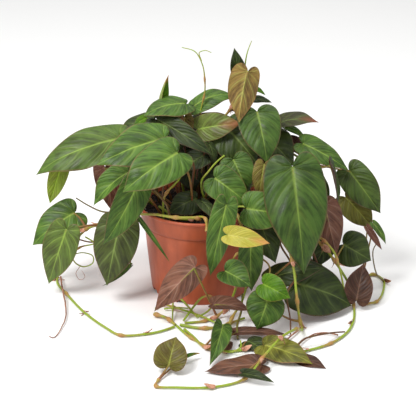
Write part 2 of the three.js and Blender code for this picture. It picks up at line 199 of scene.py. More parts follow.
def aim(bearing: float, rise: float) -> np.ndarray:
    """Give the unit vector at a bearing in plan and a rise, in degrees."""
    b, r = math.radians(bearing), math.radians(rise)
    return np.array([math.cos(r) * math.cos(b), math.cos(r) * math.sin(b), math.sin(r)])


def put(name: str, data: bpy.types.ID) -> bpy.types.Object:
    """Make an object that carries some data and link it to the scene."""
    made = bpy.data.objects.new(name, data)
    bpy.context.scene.collection.objects.link(made)
    return made


@dataclass
class Skin:
    """A mesh under construction: its points, faces and what each face and corner carries."""

    points: list[np.ndarray] = field(default_factory=list)
    faces: list[tuple[int, ...]] = field(default_factory=list)
    uvs: list[tuple[tuple[float, float], ...]] = field(default_factory=list)
    slots: list[int] = field(default_factory=list)

    def grid(
        self,
        points: np.ndarray,
        uvs: np.ndarray,
        slot: int,
        flip: bool = False,
        closed: bool = False,
    ) -> np.ndarray:
        """Add a grid of quads.

        Args:
            points: Rows by columns by three.
            uvs: Rows by columns by two. A closed grid has one more column here.
            slot: The faces' material number.
            flip: Turn the faces over.
            closed: Join the last column to the first.

        Returns:
            The point numbers, rows by columns.
        """
        rows, columns = points.shape[:2]
        first = len(self.points)
        self.points.extend(points.reshape(-1, 3))
        index = np.arange(first, first + rows * columns).reshape(rows, columns)
        for i in range(rows - 1):
            for j in range(columns if closed else columns - 1):
                k = (j + 1) % columns
                corners = [(i, j), (i, k), (i + 1, k), (i + 1, j)]
                places = [(i, j), (i, j + 1), (i + 1, j + 1), (i + 1, j)]
                if flip:
                    corners.reverse()
                    places.reverse()
                self.faces.append(tuple(int(index[c]) for c in corners))
                self.uvs.append(tuple((float(uvs[p][0]), float(uvs[p][1])) for p in places))
                self.slots.append(slot)
        return index

    def band(
        self,
        one: Sequence[int],
        other: Sequence[int],
        uvs: Sequence[tuple[float, float]],
        slot: int,
        flip: bool = False,
    ) -> None:
        """Join two rows of points that already exist by a band of quads.

        Args:
            one: Point numbers of the first row.
            other: Point numbers of the second row.
            uvs: One place for each point of the first row.
            slot: The faces' material number.
            flip: Turn the faces over.
        """
        for k in range(len(one) - 1):
            corners = [one[k], one[k + 1], other[k + 1], other[k]]
            places = [uvs[k], uvs[k + 1], uvs[k + 1], uvs[k]]
            if flip:
                corners.reverse()
                places.reverse()
            self.faces.append(tuple(int(c) for c in corners))
            self.uvs.append(tuple(places))
            self.slots.append(slot)

    def fan(self, ring: Sequence[int], uv: tuple[float, float], slot: int, flip: bool) -> None:
        """Close a ring of points by triangles round its middle.

        Args:
            ring: Point numbers round the hole.
            uv: The place of every corner.
            slot: The faces' material number.
            flip: Turn the faces over.
        """
        middle = len(self.points)
        self.points.append(np.mean([self.points[i] for i in ring], axis=0))
        for k, one in enumerate(ring):
            other = ring[(k + 1) % len(ring)]
            corners = (one, middle, other) if flip else (one, other, middle)
            self.faces.append(tuple(int(c) for c in corners))
            self.uvs.append((uv, uv, uv))
            self.slots.append(slot)

    def tube(self, line: np.ndarray, radii: np.ndarray, sides: int, slot: int) -> None:
        """Add a round closed tube along a line.

        Args:
            line: The points along its middle.
            radii: Its radius at each point.
            sides: The number of sides.
            slot: The faces' material number.
        """
        ahead = np.gradient(line, axis=0)
        ahead /= np.linalg.norm(ahead, axis=1, keepdims=True) + 1e-9
        start = np.array([0.0, 0.0, 1.0]) if abs(ahead[0][2]) < 0.9 else np.array([1.0, 0.0, 0.0])
        across = unit(np.cross(ahead[0], start))
        turns = np.linspace(0, 2 * math.pi, sides, endpoint=False)
        rings = []
        for point, way, radius in zip(line, ahead, radii, strict=True):
            across = unit(across - way * float(across @ way))
            up = np.cross(way, across)
            rings.append(
                [point + radius * (math.cos(t) * across + math.sin(t) * up) for t in turns]
            )
        along = np.linspace(0, 1, len(line))
        uvs = np.stack(np.meshgrid(along, np.linspace(0, 1, sides + 1), indexing="ij"), axis=-1)
        index = self.grid(np.array(rings), uvs, slot, closed=True, flip=True)
        self.fan(list(index[0]), (0.0, 0.5), slot, flip=False)
        self.fan(list(index[-1]), (1.0, 0.5), slot, flip=True)

    def build(
        self, name: str, materials: Sequence[bpy.types.Material], crease: float = 60.0
    ) -> bpy.types.Object:
        """Make the object, in metres, with doubles merged and faces outwards.

        Args:
            name: The object's name.
            materials: Its materials, in the order of the face slots.
            crease: The angle in degrees past which an edge stays sharp.

        Returns:
            The object, linked to the scene.
        """
        mesh = bpy.data.meshes.new(name)
        mesh.from_pydata([tuple(p * MM) for p in self.points], [], self.faces)
        layer = mesh.uv_layers.new(name="leaf")
        flat = [c for face in self.uvs for corner in face for c in corner]
        layer.data.foreach_set("uv", flat)
        mesh.polygons.foreach_set("material_index", self.slots)
        for material in materials:
            mesh.materials.append(material)
        work = bmesh.new()
        work.from_mesh(mesh)
        bmesh.ops.remove_doubles(work, verts=work.verts, dist=2e-6)
        bmesh.ops.dissolve_degenerate(work, edges=work.edges, dist=1e-7)
        bmesh.ops.recalc_face_normals(work, faces=work.faces)
        work.to_mesh(mesh)
        work.free()
        mesh.shade_smooth()
        mesh.set_sharp_from_angle(angle=math.radians(crease))
        return put(name, mesh)


def settle(piece: bpy.types.Object, nodes: Iterable[str] = ()) -> None:
    """Tie a finished piece to the frame.

    Args:
        piece: The finished mesh object.
        nodes: The CAD nodes that it stands for.
    """
    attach(piece, "root")
    if nodes:
        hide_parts(*nodes)
    LOG.info("%s: %d faces", piece.name, len(piece.data.polygons))


def frozen(piece: bpy.types.Object) -> bpy.types.Object:
    """Turn an object and its modifiers into a plain mesh object of the same name.

    Args:
        piece: The object with its modifiers.

    Returns:
        The plain mesh object. The first object is gone.
    """
    bpy.context.view_layer.update()
    graph = bpy.context.evaluated_depsgraph_get()
    mesh = bpy.data.meshes.new_from_object(piece.evaluated_get(graph), depsgraph=graph)
    name = piece.name
    bpy.data.objects.remove(piece, do_unlink=True)
    mesh.name = name
    return put(name, mesh)


def new_group(
    name: str, inputs: Mapping[str, str], output: str
) -> tuple[bpy.types.GeometryNodeTree, Mapping[str, bpy.types.NodeSocket]]:
    """Make a node group with named inputs.

    Args:
        name: The group's name.
        inputs: Each input's name and kind of socket, such as Float.
        output: The name of the geometry that it gives.

    Returns:
        The group, and the sockets that its inputs arrive at.
    """
    group = bpy.data.node_groups.new(name, "GeometryNodeTree")
    for label, kind in inputs.items():
        group.interface.new_socket(label, in_out="INPUT", socket_type=f"NodeSocket{kind}")
    group.interface.new_socket(output, in_out="OUTPUT", socket_type="NodeSocketGeometry")
    return group, add_node(group, "NodeGroupInput").outputs


def end_group(group: bpy.types.GeometryNodeTree, made: object, material: object) -> None:
    """End a node group: its instances made real, and the material set."""
    real = add_node(group, "GeometryNodeRealizeInstances", {0: made})
    dressed = add_node(group, "GeometryNodeSetMaterial", {0: real, "Material": material})
    add_node(group, "NodeGroupOutput", {0: dressed})


def grown(
    name: str,
    mesh: bpy.types.Mesh,
    group: bpy.types.GeometryNodeTree,
    values: Mapping[str, object],
) -> bpy.types.Object:
    """Run a node group on a mesh and keep what it gives as a plain mesh.

    Args:
        name: The object's name.
        mesh: What the group starts from.
        group: The node group.
        values: What its inputs get, by name.

    Returns:
        The object.
    """
    piece = put(name, mesh)
    modifier = piece.modifiers.new(name, "NODES")
    modifier.node_group = group
    for item in group.interface.items_tree:
        if item.in_out == "INPUT" and item.name in values:
            modifier[item.identifier] = values[item.name]
    return frozen(piece)


# ---- finishes ------------------------------------------------------------------------------
@dataclass(frozen=True)
class MouldedPlastic:
    """Polypropylene, injection moulded and coloured through, a little scuffed by handling."""

    name: str = "moulded polypropylene, terracotta"
    lit: str = "#BE5C36"
    deep: str = "#9A4626"
    dust: str = "#D9B7A2"
    roughness: float = 0.42

    def material(self) -> bpy.types.Material:
        """Dress the pot: flow streaks, faint scuffs and dust that settles in the grain."""
        material, tree, shader = new_material(self.name)
        add = partial(add_node, tree)
        where = add("ShaderNodeTexCoord").outputs["Object"]
        tall = add("ShaderNodeMapping", {"Vector": where, "Scale": (1.0, 1.0, 0.22)})
        # Melt flows up the wall from a gate under the base, so its streaks stand upright.
        streaks = add("ShaderNodeTexNoise", {"Vector": tall, "Scale": per_mm(9), "Detail": 3.0})
        clouds = add("ShaderNodeTexNoise", {"Vector": where, "Scale": per_mm(30)})
        both = add("ShaderNodeMath", {0: clouds, 1: 0.7, 2: streaks}, operation="MULTIPLY_ADD")
        shade = add("ShaderNodeMapRange", {0: both, 1: 0.6, 2: 1.1})
        base = add(
            "ShaderNodeMix", {0: shade, 6: linear(self.lit), 7: linear(self.deep)}, data_type="RGBA"
        )
        # Watering leaves specks of lime and mix, a millimetre or so across.
        specks = add(
            "ShaderNodeTexNoise",
            {"Vector": where, "Scale": per_mm(1.6), "Detail": 3.0, "Roughness": 0.7},
        )
        patches = add("ShaderNodeTexNoise", {"Vector": where, "Scale": per_mm(24)})
        few = add("ShaderNodeMapRange", {0: specks, 1: 0.66, 2: 0.74, 4: 0.35})
        some = add("ShaderNodeMapRange", {0: patches, 1: 0.45, 2: 0.7})
        dusty = add("ShaderNodeMath", {0: few, 1: some}, operation="MULTIPLY")
        base = add("ShaderNodeMix", {0: dusty, 6: base, 7: linear(self.dust)}, data_type="RGBA")
        rubbed = add(
            "ShaderNodeTexNoise",
            {"Vector": tall, "Scale": per_mm(3), "Detail": 4.0, "Roughness": 0.7},
        )
        gloss = add(
            "ShaderNodeMapRange",
            {0: rubbed, 1: 0.3, 2: 0.8, 3: self.roughness - 0.06, 4: self.roughness + 0.12},
        )
        dull = add("ShaderNodeMath", {0: gloss, 1: dusty}, operation="ADD")
        # Spark-eroded mould faces leave a grain of about a fifth of a millimetre, drawn coarser.
        fine = add("ShaderNodeTexNoise", {"Vector": where, "Scale": per_mm(0.6)})
        skin = add("ShaderNodeMath", {0: fine, 1: 0.4, 2: streaks}, operation="MULTIPLY_ADD")
        bump = add("ShaderNodeBump", {"Strength": 0.5, "Distance": 0.35 * MM, "Height": skin})
        fill(tree, shader, {
            "Base Color": base,
            "Roughness": dull,
            "Normal": bump,
            "IOR": 1.49,
            "Subsurface Weight": 0.06,
            "Subsurface Radius": (0.003, 0.0012, 0.0006),
        })
        return material


@dataclass(frozen=True)
class Crumb:
    """One ingredient of the potting mix: peat, perlite or bark."""

    name: str
    light: str
    dark: str
    grain_mm: float
    roughness: float
    depth_mm: float

    def material(self) -> bpy.types.Material:
        """Dress the grains: two shades in blobs, and a rough skin."""
        material, tree, shader = new_material(self.name)
        add = partial(add_node, tree)
        where = add("ShaderNodeTexCoord").outputs["Object"]
        blobs = add(
            "ShaderNodeTexNoise",
            {"Vector": where, "Scale": per_mm(self.grain_mm * 2.5), "Detail": 4.0},
        )
        shade = add("ShaderNodeMapRange", {0: blobs, 1: 0.35, 2: 0.7})
        base = add(
            "ShaderNodeMix",
            {0: shade, 6: linear(self.dark), 7: linear(self.light)},
            data_type="RGBA",
        )
        rough = add(
            "ShaderNodeTexNoise",
            {"Vector": where, "Scale": per_mm(self.grain_mm), "Detail": 4.0, "Roughness": 0.7},
        )
        bump = add("ShaderNodeBump", {"Distance": self.depth_mm * MM, "Height": rough})
        fill(tree, shader, {"Base Color": base, "Normal": bump, "Roughness": self.roughness})
        return material


PEAT = Crumb("peat, dark and damp", "#2E211B", "#0E0908", 1.2, 0.9, 0.8)
PERLITE = Crumb("perlite, expanded glass", "#E6E2D8", "#A79F92", 0.5, 0.7, 0.3)
BARK = Crumb("pine bark chips", "#6B4A34", "#2C1C14", 0.8, 0.8, 0.4)


@dataclass(frozen=True)
class VelvetLeaf:
    """Living blade: a fine velvet of cells over quilted tissue, paler along its veins."""

    name: str
    slot: str
    blade: str
    deep: str
    vein: str
    margin: str
    tip: str
    under: str
    under_deep: str
    under_vein: str
    roughness: float = 0.44
    sheen: float = 0.04

    def upper(self) -> bpy.types.Material:
        """Dress the upper face: satin green, lime midrib, soft pale laterals, reddish margin."""
        return self._dress("upper face", self.blade, self.deep, self.vein, 0.7, 0.3, True)

    def lower(self) -> bpy.types.Material:
        """Dress the lower face: matt, with raised veins that stand out more."""
        return self._dress(
            "lower face", self.under, self.under_deep, self.under_vein, 0.85, 0.5, False
        )

    def _dress(
        self,
        side: str,
        blade: str,
        deep: str,
        vein: str,
        midrib_share: float,
        lateral_share: float,
        upper: bool,
    ) -> bpy.types.Material:
        """Build a blade material.

        Args:
            side: Which face it is for, in words.
            blade: The tissue's colour between veins.
            deep: Its colour where pigment is dense, and in the pleats' valleys as painted shade.
            vein: The veins' colour.
            midrib_share: How much of the vein colour the midrib takes.
            lateral_share: How much of it the side veins take.
            upper: Whether this is the upper face.

        Returns:
            The material.
        """
        material, tree, shader = new_material(f"{self.name}, {side}")
        add = partial(add_node, tree)
        where = add("ShaderNodeTexCoord").outputs["Object"]
        split = add("ShaderNodeSeparateXYZ", {0: add("ShaderNodeUVMap", uv_map="leaf")})
        along, over = split.outputs[0], split.outputs[1]
        signed = add("ShaderNodeMath", {0: over, 1: 2.0, 2: -1.0}, operation="MULTIPLY_ADD")
        across = add("ShaderNodeMath", {0: signed}, operation="ABSOLUTE")
        mood = add("ShaderNodeAttribute", attribute_name="mood")
        moods = add("ShaderNodeSeparateXYZ", {0: mood.outputs["Vector"]})
        tone, warm, tinge = moods.outputs[0], moods.outputs[1], moods.outputs[2]

        # The midrib is 1 to 1.5 mm wide at the petiole and thins to the tip.
        midrib = add("ShaderNodeMapRange", {0: across, 1: 0.012, 2: 0.06, 3: midrib_share, 4: 0.0})
        # Side veins leave the midrib low down and sweep to the tip. Each fades over a millimetre.
        wander = add("ShaderNodeTexNoise", {"Vector": where, "Scale": per_mm(14), "Detail": 1.0})
        phase = add(
            "ShaderNodeMath", {0: along, 1: float(LATERAL_VEINS), 2: -0.1}, operation="MULTIPLY_ADD"
        )
        phase = add("ShaderNodeMath", {0: wander, 1: 0.2, 2: phase}, operation="MULTIPLY_ADD")
        off = add("ShaderNodeMath", {0: phase, 1: 0.5}, operation="PINGPONG")
        line = add("ShaderNodeMapRange", {0: off, 1: 0.0, 2: 0.085, 3: lateral_share, 4: 0.0})
        fade = add("ShaderNodeMapRange", {0: across, 1: 0.5, 2: 1.0, 3: 1.0, 4: 0.2})
        lateral = add("ShaderNodeMath", {0: line, 1: fade}, operation="MULTIPLY")
        lateral = add(
            "ShaderNodeMath", {0: lateral, 1: mood.outputs["Alpha"]}, operation="MULTIPLY"
        )
        # Three finer veins run between two side veins, and the blade is pleated along them. The
        # pleats make the bump, and their valleys are painted darker as painted shade.
        finer = add("ShaderNodeMath", {0: phase, 1: 3.0}, operation="MULTIPLY")
        finer = add("ShaderNodeMath", {0: finer, 1: 0.5}, operation="PINGPONG")
        pleat_relief_and_shade = add("ShaderNodeMapRange", {0: finer, 1: 0.0, 2: 0.5})
        # The finest veins, half a millimetre apart, show as a silky streak.
        silk_at = add("ShaderNodeMath", {0: along, 1: 60.0}, operation="MULTIPLY")
        wide = add("ShaderNodeMath", {0: over, 1: 5.0}, operation="MULTIPLY")
        silk_at = add("ShaderNodeCombineXYZ", {0: silk_at, 1: wide, 2: tone})
        silk = add("ShaderNodeTexNoise", {"Vector": silk_at, "Scale": 1.0, "Detail": 2.0})
        clouds = add("ShaderNodeTexNoise", {"Vector": where, "Scale": per_mm(16), "Detail": 3.0})

        pigment_and_shade = add("ShaderNodeMath", {0: silk, 1: 0.7, 2: clouds}, operation="MULTIPLY_ADD")
        # The pleats' valleys take the deep colour: painted shade.
        pigment_and_shade = add("ShaderNodeMath", {0: pleat_relief_and_shade, 1: 0.16, 2: pigment_and_shade}, operation="MULTIPLY_ADD")
        shade = add(
            "ShaderNodeMapRange", {0: pigment_and_shade, 1: 0.72, 2: 1.12}, interpolation_type="SMOOTHSTEP"
        )
        base = add("ShaderNodeMix", {0: shade, 6: linear(deep), 7: linear(blade)}, data_type="RGBA")
        # Beside the veins the pigment is thinner. The margin has a red hairline, half a
        # millimetre wide, and the tip dries first.
        near = add("ShaderNodeMapRange", {0: across, 1: 0.0, 2: 0.25, 3: 0.16, 4: 0.0})
        glow = add("ShaderNodeMapRange", {0: off, 1: 0.0, 2: 0.4, 3: 0.08, 4: 0.0})
        edge = add("ShaderNodeMapRange", {0: across, 1: 0.93, 2: 1.0, 3: 0.0, 4: 0.7})
        end = add("ShaderNodeMapRange", {0: along, 1: 0.8, 2: 0.97})
        dry = add("ShaderNodeMath", {0: end, 1: tinge}, operation="MULTIPLY")
        for amount, colour in (
            (warm, self.margin),
            (near, vein),
            (glow, vein),
            (lateral, vein),
            (midrib, vein),
            (edge, self.margin),
            (dry, self.tip),
        ):
            base = add("ShaderNodeMix", {0: amount, 6: base, 7: linear(colour)}, data_type="RGBA")
        # Each leaf's tone lightens or darkens it: partly its own tone, partly painted shade on leaves deep
        # in the crown and painted light on bright young lime leaves.
        value = add("ShaderNodeMath", {0: tone, 1: 0.6, 2: 1.0}, operation="MULTIPLY_ADD")
        toned = add("ShaderNodeHueSaturation", {"Value": value, "Color": base})
        smooth = self.roughness if upper else self.roughness + 0.1
        gloss = add(
            "ShaderNodeMapRange", {0: pigment_and_shade, 1: 0.7, 2: 1.2, 3: smooth - 0.08, 4: smooth + 0.1}
        )
        # Velvet cells are a few hundredths of a millimetre, drawn at two thirds of one.
        cells = add("ShaderNodeTexNoise", {"Vector": where, "Scale": per_mm(0.7)})
        height = add("ShaderNodeMath", {0: cells, 1: 0.25, 2: silk}, operation="MULTIPLY_ADD")
        height = add("ShaderNodeMath", {0: pleat_relief_and_shade, 1: 0.9, 2: height}, operation="MULTIPLY_ADD")
        bump = add("ShaderNodeBump", {"Strength": 0.7, "Distance": 0.35 * MM, "Height": height})
        fill(tree, shader, {
            "Base Color": toned,
            "Roughness": gloss,
            "Normal": bump,
            "IOR": 1.45,
            "Specular IOR Level": 0.3,
            "Sheen Weight": self.sheen if upper else 0.02,
            "Sheen Roughness": 0.35,
            "Sheen Tint": linear("#C9DCC4"),
            "Subsurface Weight": 0.12,
            "Subsurface Radius": (0.0008, 0.0016, 0.0004),
        })
        return material


@dataclass(frozen=True)
class GreenStem:
    """Living stem or petiole: smooth skin, a little waxy, flushed pink where it is young."""

    name: str
    green: str
    flush: str
    speck: str = "#5C6B2A"
    roughness: float = 0.38

    def material(self, attribute: str | None = None) -> bpy.types.Material:
        """Dress a stem.

        Args:
            attribute: The point attribute that says how flushed it is. Without one the flush
                runs along the UV map, from the foot up.

        Returns:
            The material.
        """
        material, tree, shader = new_material(self.name)
        add = partial(add_node, tree)
        where = add("ShaderNodeTexCoord").outputs["Object"]
        if attribute:
            flushed = add("ShaderNodeAttribute", attribute_name=attribute).outputs["Fac"]
        else:
            split = add("ShaderNodeSeparateXYZ", {0: add("ShaderNodeUVMap", uv_map="leaf")})
            flushed = add(
                "ShaderNodeMapRange", {0: split.outputs[0], 1: 0.2, 2: 1.0, 3: 0.85, 4: 0.25}
            )
        blobs = add("ShaderNodeTexNoise", {"Vector": where, "Scale": per_mm(5), "Detail": 3.0})
        mottle = add("ShaderNodeMapRange", {0: blobs, 1: 0.3, 2: 0.7, 3: -0.25, 4: 0.25})
        amount = add("ShaderNodeMath", {0: flushed, 1: mottle}, operation="ADD", use_clamp=True)
        base = add(
            "ShaderNodeMix",
            {0: amount, 6: linear(self.green), 7: linear(self.flush)},
            data_type="RGBA",
        )
        lines = add("ShaderNodeTexNoise", {"Vector": where, "Scale": per_mm(1.2)})
        dark = add("ShaderNodeMapRange", {0: lines, 1: 0.5, 2: 0.75, 4: 0.3})
        base = add("ShaderNodeMix", {0: dark, 6: base, 7: linear(self.speck)}, data_type="RGBA")
        gloss = add(
            "ShaderNodeMapRange",
            {0: lines, 1: 0.2, 2: 0.8, 3: self.roughness - 0.05, 4: self.roughness + 0.15},
        )
        bump = add("ShaderNodeBump", {"Strength": 0.4, "Distance": 0.15 * MM, "Height": lines})
        fill(tree, shader, {
            "Base Color": base,
            "Roughness": gloss,
            "Normal": bump,
            "IOR": 1.42,
            "Subsurface Weight": 0.15,
            "Subsurface Radius": (0.0012, 0.0016, 0.0005),
        })
        return material


@dataclass(frozen=True)
class DrySheath:
    """Dried sheath and root skin: papery, fibrous, without gloss."""

    name: str
    light: str
    dark: str
    roughness: float = 0.75

    def material(self) -> bpy.types.Material:
        """Dress a papery skin: a fine fibre grain and larger patches, lighter and darker."""
        material, tree, shader = new_material(self.name)
        add = partial(add_node, tree)
        where = add("ShaderNodeTexCoord").outputs["Object"]
        fibre = add("ShaderNodeTexNoise", {"Vector": where, "Scale": per_mm(0.9), "Detail": 3.0})
        patch = add("ShaderNodeTexNoise", {"Vector": where, "Scale": per_mm(4)})
        both = add("ShaderNodeMath", {0: fibre, 1: patch}, operation="ADD")
        shade = add("ShaderNodeMapRange", {0: both, 1: 0.8, 2: 1.25})
        base = add(
            "ShaderNodeMix",
            {0: shade, 6: linear(self.dark), 7: linear(self.light)},
            data_type="RGBA",
        )
        bump = add("ShaderNodeBump", {"Distance": 0.2 * MM, "Height": fibre})
        fill(tree, shader, {
            "Base Color": base,
            "Normal": bump,
            "Roughness": self.roughness,
            "Subsurface Weight": 0.1,
            "Subsurface Radius": (0.001, 0.0006, 0.0004),
        })
        return material


class Kind(Enum):
    """The kinds of leaf on this plant, each with its finish."""

    GREEN = VelvetLeaf(
        "grown green leaf", "leaf_green", "#4B6A26", "#2D4415", "#8CA647", "#7A5A40", "#8C5A3A",
        "#7E5A49", "#56372F", "#BE9680",
    )
    # Its bright lime is partly the young leaf's own colour, partly painted light shining through it.
    LIME = VelvetLeaf(
        "young lime leaf", "leaf_lime", "#537E08", "#375C05", "#86A82E", "#8A7A3C", "#B87A48",
        "#7F9038", "#5D6F28", "#B0B66E", roughness=0.42, sheen=0.02,
    )
    # Darker greens: partly the leaves' own colour, partly painted shade for leaves inside the crown.
    DARK = VelvetLeaf(
        "shaded dark leaf", "leaf_dark", "#364518", "#1F2B10", "#708242", "#604434", "#7A4630",
        "#5A3A2E", "#38221C", "#8C6656",
    )
    OLIVE = VelvetLeaf(
        "olive leaf", "leaf_olive", "#686622", "#444416", "#9A9E44", "#84563C", "#A0663A",
        "#866E38", "#5C4626", "#AEAE5C",
    )
    BROWN = VelvetLeaf(
        "bronze leaf", "leaf_brown", "#643F2C", "#40281E", "#94705C", "#7E5044", "#7A4A38",
        "#7E5442", "#56372C", "#AC8672",
    )
    YELLOW = VelvetLeaf(
        "ageing yellow leaf", "leaf_yellow", "#BEB44A", "#A59E38", "#CCC66A", "#C4855A", "#D2855A",
        "#B8AC5A", "#988C3C", "#CCC68A", roughness=0.45, sheen=0.02,
    )


STEM_FINISH = GreenStem("trailing stem, waxy green", "#8FA62E", "#B4774E")
PETIOLE_FINISH = GreenStem("petiole, pink to green", "#808C30", "#8A5034")
# Its dark brown-green is partly painted shade, for the stalks inside the crown.
TENDRIL_FINISH = GreenStem("shaded stalk, brown-green", "#656224", "#643822")
SHEATH_FINISH = DrySheath("dried sheath, papery", "#DDAE90", "#A8694E")
ROOT_FINISH = DrySheath("aerial root, corky", "#B98366", "#6E4233")


# ---- pot and potting mix -------------------------------------------------------------------
@dataclass
class NurseryPot:
    """The pot: a thin moulded wall with a flared collar, a rolled lip and drain holes."""

    height: float = 88
    rim_radius: float = 60
    lip: float = 2.2
    lip_depth: float = 3
    collar_height: float = 20
    collar_radius: float = 54.6
    body_radius: float = 52.98
    base_radius: float = 46.32
    wall: float = 1.5
    facets: int = 192
    drain_holes: int = 6
    drain_radius: float = 4
    drain_ring: float = 28
    notches: int = 8
    notch_width: float = 9
    notch_height: float = 3.5

    @property
    def body_top(self) -> float:
        """Height of the collar's lower edge."""
        return self.height - self.collar_height

    def outer_radius(self, z: float) -> float:
        """Radius of the outer wall at height z."""
        if z < self.body_top:
            return self.base_radius + (self.body_radius - self.base_radius) * z / self.body_top
        up = (z - self.body_top) / self.collar_height
        return self.collar_radius + (self.rim_radius - self.lip / 2 - self.collar_radius) * up

    def inner_radius(self, z: float) -> float:
        """Radius of the inner wall at height z."""
        return self.outer_radius(z) - self.wall

    def profile(self) -> list[tuple[float, float]]:
        """List the section's points from the middle of the base, up the outside and down inside."""
        top, body, under = self.height, self.body_top, self.height - self.lip_depth
        outside = [(0.0, 0.6), (self.base_radius - 6, 0.6), (self.base_radius - 5.2, 0.0)]
        for k in range(5):
            turn = math.radians(-90 + 22.5 * k)
            outside.append(
                (self.base_radius - 1.5 + 1.5 * math.cos(turn), 1.5 + 1.5 * math.sin(turn))
            )
        for z in np.linspace(4, body - 2.5, 18):
            outside.append((self.outer_radius(float(z)), float(z)))
        outside += [
            (self.body_radius - 0.05, body - 1.1),
            (self.body_radius - 0.35, body - 0.4),
            (self.body_radius - 0.2, body + 0.1),
            (self.body_radius + 0.9, body + 0.6),
            (self.collar_radius, body + 1.4),
        ]
        for z in np.linspace(body + 3, under - 0.8, 6):
            outside.append((self.outer_radius(float(z)), float(z)))
        outside += [
            (self.outer_radius(under) + 0.15, under - 0.1),
            (self.rim_radius - 0.55, under + 0.35),
            (self.rim_radius - 0.1, under + 0.9),
            (self.rim_radius, top - 1.1),
            (self.rim_radius - 0.25, top - 0.45),
            (self.rim_radius - 0.8, top),
            (self.rim_radius - self.lip + 0.45, top),
            (self.rim_radius - self.lip, top - 0.5),
            (self.inner_radius(under), under),
        ]
        inside = [
            (self.inner_radius(body + 1.2), body + 1.2),
            (self.body_radius - self.wall * 1.4, body - 1),
            (self.inner_radius(30), 30.0),
            (self.inner_radius(self.wall), self.wall + 1.4),
            (self.inner_radius(self.wall) - 1.2, self.wall),
            (0.0, self.wall),
        ]
        return outside + inside

    def build(self) -> None:
        """Make the pot."""
        skin = Skin()
        section = self.profile()
        turns = np.linspace(0, 2 * math.pi, self.facets, endpoint=False)
        rows = []
        for r, z in section:
            # A thin wall is never quite round: it gives by a few tenths where it was gripped.
            slack = min(1.0, z / 30) * (1.0 if z < self.body_top else 0.5)
            ring = []
            for t in turns:
                soft = 0.45 * noise.noise(Vector((1.6 * math.cos(t), 1.6 * math.sin(t), z / 34)))
                reach = r + slack * soft if r > self.base_radius - 3 else r
                ring.append((reach * math.cos(t), reach * math.sin(t), z))
            rows.append(ring)
        uvs = np.zeros((len(section), self.facets + 1, 2))
        skin.grid(np.array(rows), uvs, 0, closed=True)
        pot = skin.build("nursery_pot", [MouldedPlastic().material()], crease=50)
        for index, cutter in enumerate(self._cutters()):
            cut = pot.modifiers.new(f"cut {index}", "BOOLEAN")
            cut.operation, cut.solver, cut.object = "DIFFERENCE", "EXACT", cutter
        cutters = [m.object for m in pot.modifiers]
        pot = frozen(pot)
        for cutter in cutters:
            bpy.data.objects.remove(cutter, do_unlink=True)
        pot.data.set_sharp_from_angle(angle=math.radians(50))
        settle(pot, ["pot"])

    def _cutters(self) -> list[bpy.types.Object]:
        """Make the solids that cut the drain holes and the notches.

        Returns:
            One object for the holes and one for the notches.
        """
        deep, radius = 6 * self.wall * MM, self.drain_radius * MM
        drill = partial(
            bmesh.ops.create_cone,
            cap_ends=True, segments=40, radius1=radius, radius2=radius, depth=deep,
        )
        mill = partial(bmesh.ops.create_cube, size=1)
        notch = (deep, self.notch_width * MM, 2 * self.notch_height * MM)
        made = []
        for name, cut, count, first, out, size in (
            ("holes", drill, self.drain_holes, 0, self.drain_ring, (1, 1, 1)),
            ("notches", mill, self.notches, 0.5, self.base_radius, notch),
        ):
            work = bmesh.new()
            for i in range(count):
                spin = Matrix.Rotation((i + first) * 2 * math.pi / count, 4, "Z")
                spot = spin @ Matrix.Translation((out * MM, 0, 0)) @ Matrix.Diagonal((*size, 1))
                cut(work, matrix=spot)
            mesh = bpy.data.meshes.new(name)
            work.to_mesh(mesh)
            work.free()
            made.append(put(name, mesh))
        return made


